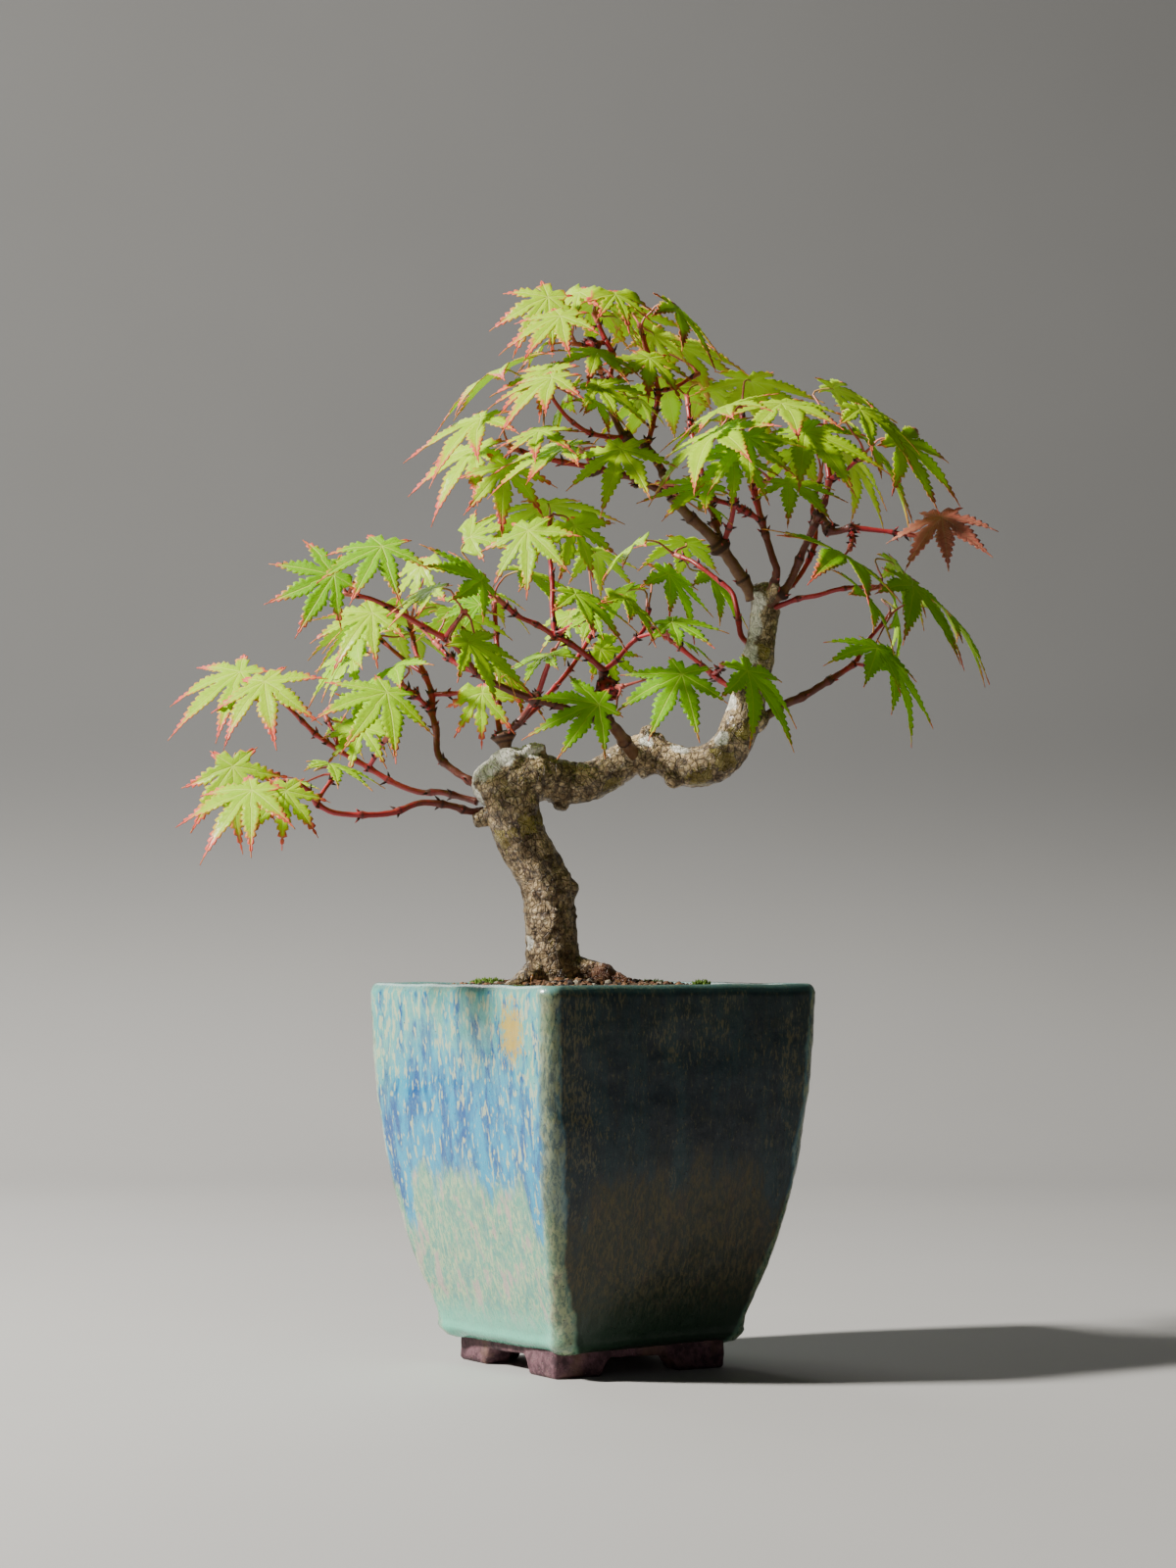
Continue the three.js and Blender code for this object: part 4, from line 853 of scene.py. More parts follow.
rough_trunk = Heap()
rough_trunk.add(*routed_tube(TRUNK_LINE, [stop[3] - UNDER_BARK for stop in TRUNK_LINE], 4, 24))
for x, y, z, radius in BURLS:
    points, faces = ball(3, radius - UNDER_BARK / 2)
    rough_trunk.add([p + Vector((x, y, z)) for p in points], faces)
for start, end, radius in CUT_STUBS:
    rough_trunk.add(*routed_tube((start, end), (radius + 0.9, radius), 3, 14))
for root in ROOTS:
    rough_trunk.add(*routed_tube(root, np.linspace(*ROOT_THICK, len(root)), 3, 14))
trunk_mesh = worked(rough_trunk.make("rough_trunk", []), [
    ("REMESH", {"mode": "VOXEL", "voxel_size": TRUNK_VOXEL}),
    ("SMOOTH", {"factor": 0.6, "iterations": 6}),
])
centre_line, _, centre_run = smooth_route(TRUNK_LINE, 1.5)
finder = KDTree(len(centre_line))
for index, stop in enumerate(centre_line):
    finder.insert(stop, index)
finder.balance()


def patch_share(point, patches):
    best = 0.0
    for x, y, z, radius in patches:
        gap = (point - Vector((x, y, z))).length / radius
        best = max(best, 1 - gap * gap * 0.8)
    return max(0.0, best)


trunk_points, trunk_place, trunk_masks, trunk_grain = [], [], [], []
for vertex in trunk_mesh.vertices:
    p = vertex.co
    _, index, gap = finder.find(p)
    run = centre_run[index]
    axis = centre_line[min(index + 1, len(centre_line) - 1)] - centre_line[max(index - 1, 0)]
    axis.normalize()
    off = p - centre_line[index]
    off = off - axis * off.dot(axis)
    # bark plates are longer along the wood than round it, and the lower trunk has ring folds
    along = p - axis * (p.dot(axis) * PLATE_STRETCH)
    folds = noise.noise(Vector((run / 2.3, off.length / 30, off.x / 40)))
    fold_here = sum(max(0, 1 - abs(run - place) / reach) for place, reach in RING_FOLDS)
    out = relief(*p, SWELL_WAVES) * 0.8 + 0.34 * relief(*along, PLATE_WAVES)
    out += 0.75 * folds * fold_here
    trunk_points.append(p + vertex.normal * out)
    trunk_place.append(tuple(p))
    low_down = max(0.0, min(1.0, (RED_AND_SHADE_BELOW - p.z) / 6))
    root_red_and_shade = low_down * min(1.0, max(0.0, (p.x - RED_AND_SHADE_RIGHT_OF) / 8))
    trunk_masks.append((patch_share(p, MUSTARD), patch_share(p, LICHEN_AND_HIGHLIGHT), root_red_and_shade))
    # the same point on the trunk drawn out straight, for marks along and round the wood
    across = axis.cross(Vector((0, 1, 0))).normalized()
    trunk_grain.append((off.y, off.dot(across), run))

bark = Finish("corky_bark", IOR=1.45, Coat_Roughness=0.3)
at = bark.place("wood_at")
mustard, lichen_and_highlight, red_and_shade = bark.parts(bark.place("patches"))
plates = bark.cloud(at, 0.26, 7.0, 0.64, 0.9)
cracks = bark.cells(bark.stretched(at, (1, 1, 0.75)), 0.42, "DISTANCE_TO_EDGE")
mottle = bark.cloud(at, 0.17, 4.0, 0.6)
grain = bark.place("grain_at")
fibres = bark.cloud(bark.stretched(grain, (1, 1, 0.2)), 0.8, 4.0, 0.6, 0.4)
rings = bark.cloud(bark.stretched(grain, (0.1, 0.1, 1)), 0.5, 3.0, 0.6)
ridge = bark.cloud(bark.stretched(at, (1, 1, 2.0)), 0.36, 5.0, 0.6)
tone = bark.layers(
    (0.12, 0.062, 0.027),
    (plates, 0.36, 0.62, 1, (0.70, 0.50, 0.26)),
    (ridge, 0.52, 0.68, 0.7, (0.95, 0.79, 0.52)),
    (mottle, 0.54, 0.40, 0.5, (0.080, 0.050, 0.024)),
    (fibres, 0.47, 0.36, 0.75, (0.040, 0.020, 0.010)),
    (rings, 0.45, 0.37, 0.6, (0.050, 0.026, 0.012)),
    (cracks, 0.07, 0.015, 0.6, (0.020, 0.013, 0.008)))
# smooth mustard patches with a dark edge
drift = bark.cloud(bark.stretched(at, (1, 1, 0.6)), 0.28, 3.0, 0.5, 0.8)
spread = mustard + (drift - 0.5) * 2.6 + (plates - 0.5) * 0.8
mustard_here = bark.step(spread, 0.42, 0.56)
mustard_rim = bark.step(spread, 0.30, 0.42)
smooth_bark = bark.layers((0.15, 0.105, 0.016), (mottle, 0.35, 0.65, 1, (0.36, 0.28, 0.045)))
tone = bark.mix(mustard_here * 0.85, tone, smooth_bark)
tone = bark.mix((mustard_rim - mustard_here) * 0.6, tone, (0.03, 0.018, 0.01))
# the lichen's silvery crust, which also stands in for painted highlight on the lit side, and the redder
# bark of the roots, darker on the right side as painted shade
# painted highlight: the pale crust is brightest on the knob and the top of the trunk, where the light
# falls
lichen_and_highlight_here = bark.step(lichen_and_highlight + (mottle - 0.5) * 0.9 + (plates - 0.5) * 0.8, 0.34, 0.62)
crust_and_highlight = bark.layers((0.46, 0.44, 0.36), (plates, 0.34, 0.60, 1, (0.95, 0.93, 0.85)))
tone = bark.mix(lichen_and_highlight_here * 0.9, tone, crust_and_highlight)
# painted shade, with the bark's own red in it: the darker red-brown over the right of the foot
tone = bark.mix(red_and_shade * 0.75, tone, bark.mix(plates, (0.10, 0.025, 0.014), (0.36, 0.13, 0.075)))
bark.feed("Base Color", tone)
bark.feed("Coat Weight", 0.6 * bark.step(mottle, 0.40, 0.56) * (1 - lichen_and_highlight_here))
bark.feed("Roughness", 0.40 + 0.25 * plates - 0.24 * mustard_here - 0.15 * red_and_shade)
coarse = plates * 0.9 + ridge * 0.6 + fibres * 0.8 + rings * 0.6
bark.bump(coarse + bark.step(cracks, 0.0, 0.1) * 0.4 - mustard_here * 0.3, 1.1)
trunk_piece = make_piece(
    "trunk_wood", [POT_AT + p * MM for p in trunk_points],
    [tuple(f.vertices) for f in trunk_mesh.polygons], [bark],
    {"wood_at": trunk_place, "patches": trunk_masks, "grain_at": trunk_grain})
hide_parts("trunk")
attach(trunk_piece, "root")


# The limbs. Young maple wood with the coral-red bark that the tree is grown for. It
# browns with age towards the trunk. Each twig swells at its nodes, where the scars and scales
# of old buds sit in dark rings.
LIMBS = {
    "low_left": [
        ("low_left_main", 1.8, 1.3, [
            (-43, -5, 218), (-48, -8, 218), (-55, -11, 220), (-67, -15, 221), (-78, -19, 217),
            (-91, -23, 216), (-101, -25, 217), (-107, -27, 220)]),
        ("low_left_tip", 1.3, 1.0, [
            (-107, -27, 220), (-111, -30, 226), (-115, -33, 228), (-120, -36, 228)]),
        ("low_left_side", 1.1, 1.0, [(-107, -27, 220), (-105, -22, 225), (-102, -16, 230)]),
    ],
    "mid_left": [
        ("mid_left_main", 1.7, 1.2, [
            (-45, -2, 222), (-52, 0, 224), (-60, 2, 226), (-68, 4, 226), (-79, 6, 230),
            (-89, 8, 236), (-101, 9, 243), (-111, 10, 250)]),
        ("mid_left_tip", 1.2, 1.0, [(-111, 10, 250), (-121, 9, 260), (-130, 7, 268)]),
        ("mid_left_mid", 1.1, 0.9, [(-101, 9, 243), (-103, 14, 249), (-106, 18, 255)]),
        ("mid_left_inner", 1.1, 0.9, [(-89, 8, 236), (-85, 2, 242), (-82, -4, 246)]),
    ],
    "upright_left": [
        ("upright_left_main", 2.0, 1.4, [
            (-43, 0, 227), (-49, 2, 231), (-55, 4, 235), (-61, 7, 241), (-62, 10, 251),
            (-64, 13, 259), (-64, 15, 266), (-67, 18, 274)]),
        ("upright_left_tip", 1.3, 1.0, [(-67, 18, 274), (-71, 22, 284), (-73, 26, 293)]),
        ("upright_left_front", 1.3, 1.1, [(-64, 15, 266), (-56, 11, 266), (-45, 8, 267)]),
        ("upright_left_low", 1.2, 1.0, [(-64, 13, 259), (-69, 10, 264), (-74, 8, 268)]),
        ("upright_left_back", 1.2, 1.0, [(-67, 18, 274), (-76, 26, 281), (-85, 33, 289)]),
    ],
    "inner": [
        ("inner_base", 3.0, 2.6, [(-32, -6, 236), (-34, -6, 244), (-35, -6, 250)]),
        ("inner_up", 1.5, 1.1, [
            (-36, -5, 249), (-37, -2, 256), (-37, 5, 274), (-38, 12, 290), (-39, 17, 302)]),
        ("inner_front", 1.9, 1.2, [
            (-34, -7, 248), (-27, -11, 255), (-21, -16, 264), (-18, -19, 272), (-16, -22, 277)]),
        ("inner_back", 1.6, 1.1, [
            (-34, -4, 248), (-21, 6, 261), (-11, 16, 273), (-5, 24, 282), (0, 31, 291)]),
    ],
    "center": [
        ("center_stub", 3.4, 2.0, [
            (18, 2, 240), (14, -6, 245), (10, -14, 250), (5, -21, 255), (4, -27, 263),
            (5, -32, 272)]),
        ("center_left_tip", 1.5, 1.1, [
            (5, -32, 272), (-1, -35, 277), (-8, -38, 282), (-14, -40, 285), (-21, -42, 289),
            (-28, -45, 292), (-33, -48, 296)]),
        ("center_riser", 1.3, 1.0, [
            (-14, -40, 285), (-15, -37, 297), (-15, -35, 306), (-16, -32, 319), (-16, -30, 328)]),
        ("center_low_front", 1.1, 1.0, [
            (-14, -40, 285), (-8, -46, 288), (-1, -52, 291), (3, -56, 293)]),
        ("center_bud", 1.3, 0.9, [
            (5, -32, 272), (10, -31, 276), (14, -30, 281), (18, -29, 285), (21, -27, 289),
            (23, -25, 297)]),
        ("center_right", 1.0, 0.9, [(18, -29, 285), (23, -34, 286), (27, -38, 286)]),
        ("center_low", 1.2, 1.0, [(4, -27, 263), (7, -34, 265), (10, -39, 265)]),
        ("front_left_main", 2.1, 1.5, [
            (4, -22, 254), (-4, -28, 255), (-12, -33, 258), (-24, -39, 261), (-35, -44, 265),
            (-44, -47, 270), (-51, -50, 279), (-56, -51, 283)]),
        ("front_left_tip", 1.4, 1.1, [
            (-56, -51, 283), (-62, -52, 286), (-74, -53, 293), (-85, -54, 298), (-90, -54, 299)]),
        ("front_left_mid", 1.1, 0.9, [(-56, -51, 283), (-53, -56, 287), (-50, -60, 290)]),
        ("front_left_inner", 1.2, 0.9, [(-44, -47, 270), (-51, -43, 273), (-58, -38, 280)]),
    ],
    "leader": [
        ("leader_main", 3.1, 2.4, [
            (65, 3, 304), (62, 1, 309), (58, -1, 315), (52, -5, 323), (45, -8, 330),
            (38, -11, 336), (32, -13, 343)]),
        ("leader_left_tip", 1.8, 1.1, [
            (32, -13, 343), (22, -16, 347), (14, -18, 350), (1, -20, 353), (-11, -22, 355),
            (-21, -24, 357), (-28, -26, 359)]),
        ("leader_left_mid", 1.1, 0.9, [(1, -20, 353), (-1, -28, 355), (-3, -34, 357)]),
        ("apex_stem", 2.2, 1.3, [
            (32, -13, 343), (28, -8, 354), (22, -4, 363), (14, -1, 368), (10, 1, 375),
            (7, 3, 385), (8, 4, 395), (9, 5, 402), (6, 6, 408)]),
        ("apex_tip", 1.2, 1.0, [(6, 6, 408), (3, 6, 415)]),
        ("apex_left", 1.1, 0.9, [(6, 6, 408), (0, 2, 405), (-4, -2, 405)]),
        ("apex_front", 1.1, 0.9, [(7, 3, 385), (5, -6, 389), (4, -12, 392)]),
        ("apex_right", 1.5, 1.0, [
            (22, -4, 363), (25, 4, 375), (27, 9, 388), (24, 13, 402), (21, 15, 412)]),
        ("apex_far_right", 1.2, 0.9, [(27, 9, 388), (34, 18, 391), (41, 24, 396)]),
        ("upper_left", 1.3, 1.0, [
            (14, -1, 368), (7, -8, 367), (-1, -14, 368), (-8, -19, 372), (-13, -24, 377),
            (-16, -28, 381)]),
        ("leader_back", 1.7, 1.0, [
            (52, -5, 323), (50, 4, 334), (47, 13, 347), (44, 22, 362), (41, 29, 375),
            (40, 34, 386)]),
        ("leader_front", 1.5, 1.0, [
            (53, -5, 325), (56, -14, 335), (56, -22, 345), (54, -30, 355), (52, -35, 362)]),
    ],
    "top_mid": [
        ("top_mid_main", 2.1, 1.3, [
            (70, 2, 300), (71, -2, 305), (74, -6, 313), (72, -6, 320), (68, -5, 334),
            (65, -3, 347), (63, 0, 357)]),
        ("top_mid_tip", 1.3, 1.1, [(63, 0, 357), (61, 3, 367), (61, 6, 378)]),
        ("top_mid_left", 1.4, 1.0, [
            (68, -5, 334), (57, -12, 339), (47, -18, 341), (37, -23, 343), (30, -26, 345)]),
        ("top_mid_front", 1.1, 0.9, [(65, -3, 347), (68, -12, 348), (70, -18, 348)]),
    ],
    "top_right": [
        ("top_right_main", 2.2, 1.5, [
            (71, 0, 301), (76, -3, 305), (80, -4, 311), (84, -6, 321), (89, -8, 332),
            (93, -9, 342), (95, -9, 350)]),
        ("top_right_tip", 1.4, 1.0, [(95, -9, 350), (94, -7, 358), (94, -5, 368)]),
        ("right_shoulder", 1.2, 0.9, [(95, -9, 350), (100, -16, 352), (105, -22, 356)]),
        ("top_right_back", 1.5, 1.0, [
            (77, 0, 306), (83, 6, 312), (89, 12, 323), (91, 16, 332), (90, 21, 342),
            (93, 26, 353)]),
        ("bronze", 2.0, 0.9, [
            (91, -8, 336), (96, -11, 329), (103, -13, 330), (112, -15, 329), (119, -16, 328),
            (125, -17, 327)]),
        ("right_inner", 1.0, 0.9, [(103, -13, 330), (103, -20, 325), (102, -25, 322)]),
    ],
    "right_mid": [
        ("right_mid_tip", 1.5, 1.0, [
            (70, 2, 298), (77, -1, 301), (83, -3, 303), (90, -5, 304), (97, -6, 306),
            (104, -7, 307), (111, -8, 307)]),
    ],
    "right_low": [
        ("right_low_main", 2.6, 1.5, [
            (63, 2, 253), (71, 2, 257), (77, 3, 261), (84, 4, 264), (97, 7, 272), (106, 9, 278)]),
        ("right_low_tip", 1.3, 1.0, [(106, 9, 278), (112, 12, 288), (118, 14, 295)]),
        ("right_low_side", 1.1, 0.9, [(106, 9, 278), (110, 4, 277), (113, 1, 277)]),
    ],
    "back_left": [
        ("back_left_tip", 1.5, 1.0, [
            (66, 5, 285), (61, 8, 288), (59, 11, 299), (57, 14, 307), (52, 17, 312),
            (46, 20, 317), (41, 24, 321), (37, 28, 323)]),
    ],
    "low_back": [
        ("low_back_main", 1.6, 1.3, [(62, 4, 260), (59, 8, 265), (55, 10, 269), (49, 14, 274)]),
        ("low_back_tip", 1.3, 1.0, [(49, 14, 274), (40, 18, 282), (33, 22, 288), (26, 26, 293)]),
        ("low_front", 1.0, 0.9, [(49, 14, 274), (51, 6, 275), (52, -2, 276)]),
    ],
}
TWIG_SIDES = 10
TWIG_GIRTH = 0.8
TWIG_STEP = 1.1
FIRST_NODE = 5
LAST_NODE = 4
NODE_SPACING = 15
NODE_GAPS = (0.6, 1.35)
NODE_SWELLS = (0.7, 1.2)
NODE_LENGTH = 1.5
NODE_SWELL = 0.34
FORK_SWELL = 0.5
FORK_SCALES = 5
END_SWELL = 0.42
SCAR_LENGTH = 0.8
COLLAR_LENGTH = 5
COLLAR_SWELL = 0.35
SPUR_LENGTH = (2.0, 3.6)
SPUR_THICK = 0.55
SPUR_SIDES = 6
RED_SPURS = 0.45
OLD_WOOD = {"inner_base", "center_stub", "right_low_main"}

coral = Finish("coral_bark", IOR=1.45, Coat_Roughness=0.3)
at = coral.place("wood_at")
age, scar, tip = coral.parts(coral.place("growth"))
lines = coral.cloud(at, 0.35, 4.0, 0.6)
speckle = coral.cells(at, 1.1)
young = coral.mix(lines, (0.27, 0.006, 0.014), (0.50, 0.028, 0.042))
middle = coral.mix(lines, (0.058, 0.010, 0.008), (0.20, 0.038, 0.020))
old = coral.mix(lines, (0.058, 0.026, 0.011), (0.25, 0.115, 0.042))
tone = coral.layers(
    young,
    (age + (lines - 0.5) * 0.5, 0.24, 0.52, 1, middle),
    (age + (lines - 0.5) * 0.4, 0.62, 0.9, 1, old),
    (speckle, 0.16, 0.08, 0.6, (0.42, 0.26, 0.17)),
    (scar, 0.25, 0.8, 0.85, (0.03, 0.014, 0.011)))
tone = coral.mix(tip, tone, (0.42, 0.03, 0.03))
coral.feed("Base Color", tone)
coral.feed("Roughness", 0.36 + 0.3 * coral.step(age, 0.3, 0.9) + 0.25 * scar)
coral.feed("Coat Weight", 0.3 * (1 - scar))
coral.bump(lines * 0.5 + coral.cloud(at, 1.6, 4.0, 0.7) * 0.5 - speckle * 0.2, 0.18)


def spur(heap, base, heading, length, red_tip):
    """A bud or an old bud scale: a small pointed cone, fat below its middle."""
    stops = [base + heading * length * run for run in (0, 0.3, 0.7, 1)]
    radii = [SPUR_THICK * 0.8, SPUR_THICK, SPUR_THICK * 0.55, 0.05]
    points, faces = tube_mesh(stops, radii, SPUR_SIDES)
    # age, scar and red tip of each of the four stops
    dark = [(0.5, 1.0, 0.0), (0.5, 0.9, 0.0), (0.5, 1.0, 0.0), (0.5, 1.0, 0.0)]
    bright = [(0.5, 1.0, 0.0), (0.5, 0.9, 0.0), (0.5, 0.3, 0.9), (0.5, 0.0, 0.9)]
    shades = [shade for shade in (bright if red_tip else dark) for _ in range(SPUR_SIDES)]
    heap.add(points, faces, wood_at=points, growth=shades)


def branch_route(heap, name, thick_start, thick_end, route, forks, draw):
    """One twig with its swollen nodes, bud scales and scars."""
    stops, _, run = smooth_route(route, TWIG_STEP)
    length = run[-1]
    nodes = []
    spot = draw.uniform(FIRST_NODE, NODE_SPACING)
    while spot < length - LAST_NODE:
        nodes.append((spot, NODE_SWELL * draw.uniform(*NODE_SWELLS)))
        spot += NODE_SPACING * draw.uniform(*NODE_GAPS)
    for fork in forks:
        index = min(range(len(stops)), key=lambda i: (stops[i] - Vector(fork)).length)
        if 2 < run[index] < length - 1.5:
            nodes.append((run[index], FORK_SWELL))
    nodes.append((length - 0.4, END_SWELL))
    radii, growth = [], []
    start_age = 0.95 if name in OLD_WOOD else np.clip((thick_start - 0.95) / 1.5, 0.12, 0.85)
    end_age = np.clip((thick_end - 0.95) / 1.7, 0.02, 0.8)
    for stop, where in zip(stops, run):
        radius = TWIG_GIRTH * np.interp(where, [0, length], [thick_start, thick_end])
        scar = 0.0
        for node, swell in nodes:
            radius *= 1 + swell * bell(where - node, NODE_LENGTH)
            scar = max(scar, bell(where - node - 0.3, SCAR_LENGTH) * min(1, swell * 2.4))
        if where < COLLAR_LENGTH and name.endswith(("main", "base", "stub", "tip")):
            radius *= 1 + COLLAR_SWELL * (1 - where / COLLAR_LENGTH) ** 2
        radius *= 1 + 0.07 * noise.noise(stop / 3.1)
        radii.append(radius)
        growth.append((float(np.interp(where, [0, length], [start_age, end_age])), scar, 0.0))
    points, faces = tube_mesh(stops, radii, TWIG_SIDES)
    for i, p in enumerate(points):
        centre = stops[i // TWIG_SIDES]
        points[i] = centre + (p - centre) * (1 + 0.12 * noise.noise(p / 1.7))
    heap.add(points, faces, wood_at=points,
             growth=[growth[i // TWIG_SIDES] for i in range(len(points))])
    for node, swell in nodes:
        index = int(np.searchsorted(run, node))
        index = min(max(index, 1), len(stops) - 2)
        tangent = (stops[index + 1] - stops[index - 1]).normalized()
        around = tangent.orthogonal().normalized()
        turn = draw.uniform(0, 360)
        count = 2 if swell < FORK_SWELL else FORK_SCALES
        for order in range(count):
            angle = math.radians(turn + order * 360 / count + draw.uniform(-12, 12))
            spoke = Matrix.Rotation(angle, 3, tangent) @ around
            red_tip = draw.random() < RED_SPURS
            heading = (tangent * draw.uniform(0.6, 1.4) + spoke).normalized()
            spur_length = draw.uniform(*SPUR_LENGTH) * (0.75 if count == FORK_SCALES else 1)
            spur(heap, stops[index] + spoke * radii[index] * 0.7, heading, spur_length, red_tip)


for limb_name, twigs in LIMBS.items():
    limb_heap = Heap("wood_at", "growth")
    draw = random.Random(len(limb_name) * 37 + len(twigs))
    for name, thick_start, thick_end, route in twigs:
        forks = [other[3][0] for other in twigs if other[0] != name]
        branch_route(limb_heap, name, thick_start, thick_end, route, forks, draw)
    limb_piece = limb_heap.make(
        f"limb_{limb_name}_wood", [coral], [POT_AT + Vector(p) * MM for p in limb_heap.points])
    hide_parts(f"limb_{limb_name}")
    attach(limb_piece, "root")


# The leaves. Each shoot bears one to four leaves on thin pink stalks. A leaf has seven
# long-pointed lobes with toothed edges, pale veins from the heart, and a coral flush at the
# tips and margins. Each takes its place, tilt and lobes from a leaf of the shoot's solid.
HUB_EDGES = 23
LOBE_TIPS = (0, 3, 6, 10, 14, 17, 20)
NOTCHES = (1, 4, 8, 12, 16, 19)
BASE_NOTCH = 3.6
INNER_ROWS = (0.8, 1.8, 3.0, 4.4, 5.9, 7.4, 9.0)
ROW_STEP = 0.85
BLADE_THICK = 0.28
LOBE_WIDTH = 0.122
BASAL_WIDTH = 0.22
WIDTH_RANGE = (0.92, 1.08)
CURL_RANGE = (0.7, 1.3)
WIDEST_AT = 0.28
LOBE_TAPER = (1.25, 1.5)
TOOTH = 1.1
TOOTH_SHAPE = (0.25, 0.75, -0.55)
TOOTH_LEAN = 0.5
LOBE_FOLD = 0.24
LOBE_BEND = 0.035
THINNEST = 0.10
VEIN_SLANT = 1.15
VEIN_PITCH = 1.55
STEM = [
    # run past the twig's end, radius
    (-0.5, 0.85), (1.0, 1.15), (2.2, 0.95), (3.4, 1.05), (4.6, 1.15), (5.4, 0.45),
]
STEM_SIDES = 10
STALK = [
    # share of the length, radius
    (0, 0.85), (0.06, 0.62), (0.2, 0.42), (0.85, 0.40), (0.97, 0.45), (1, 0.2),
]
STALK_SIDES = 7
STALK_LIFT = math.radians(32)
NOWHERE = (0.0, 0.0, 0.0)
LEAF_APART = (71.0, 13.0)
CROWN_LOW = 250
CROWN_HIGH = 420
YELLOW_RANGE = (0.35, 0.8)
GREEN_RANGE = (-0.1, 0.25)
RED_RANGE = (0.35, 0.75)
STALK_NECK = 8
GREEN_SHOOTS = {
    "center_low", "low_front", "right_low_tip", "center_right", "right_mid_tip",
    "center_left_tip", "front_left_tip", "right_low_side", "right_inner", "low_back_tip",
}
PINK_SHOOTS = {
    "leader_left_tip", "upper_left", "apex_tip", "apex_right", "mid_left_tip",
    "upright_left_front", "low_left_tip", "apex_left",
}
YOUNG_SHOOTS = {
    "mid_left_mid", "upright_left_tip", "upright_left_back", "low_left_side", "inner_up",
    "center_left_tip", "center_riser", "center_low_front", "center_right", "front_left_inner",
    "front_left_mid", "apex_tip", "apex_left", "apex_front", "apex_right", "upper_left",
    "top_mid_left", "top_mid_tip",
}
YOUNG_SIZE = (0.6, 0.8)
YOUNG_TURN = (45, 80)
YOUNG_DROP = 5


def read_leaves(node):
    """Heart, axes and outline of each leaf of a shoot, from its solid, in millimetres."""
    work = bmesh.new()
    work.from_mesh(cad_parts[node].data)
    bmesh.ops.remove_doubles(work, verts=work.verts, dist=5e-6)
    hubs = [v for v in work.verts if len(v.link_edges) == HUB_EDGES]
    leaves = []
    while hubs:
        one = hubs.pop()
        twin = min(hubs, key=lambda v: (v.co - one.co).length)
        hubs.remove(twin)
        ring = [edge.other_vert(one).co.copy() for edge in one.link_edges]
        mean = sum(ring, Vector()) / len(ring)
        up = (one.co - twin.co).normalized()
        if (one.co - mean).dot(up) < 0:
            up = -up
        heart = (one.co + twin.co) / 2
        ring = sorted(((p - one.co) / MM for p in ring), key=lambda v: v.length)
        # the two nearest corners stand at either side of the stalk
        notch = ring[0] + ring[1]
        along = -(notch - up * notch.dot(up)).normalized()
        across = up.cross(along)
        outline = [(p.dot(along), p.dot(across), p.dot(up)) for p in ring[2:]]
        outline.sort(key=lambda p: math.atan2(p[1], p[0]))
        leaves.append((heart / MM, along, across, up, outline))
    work.free()
    leaves.sort(key=lambda leaf: tuple(round(c, 2) for c in leaf[0]))
    return leaves


def lobe_width(place, start, widest):
    """Half the width of a lobe, at a place from 0 at its foot to 1 at its tip."""
    if place < WIDEST_AT:
        swell = place / WIDEST_AT
        return start + (widest - start) * (swell * swell * (3 - 2 * swell))
    past = (place - WIDEST_AT) / (1 - WIDEST_AT)
    return widest * (1 - past ** LOBE_TAPER[0]) ** LOBE_TAPER[1]


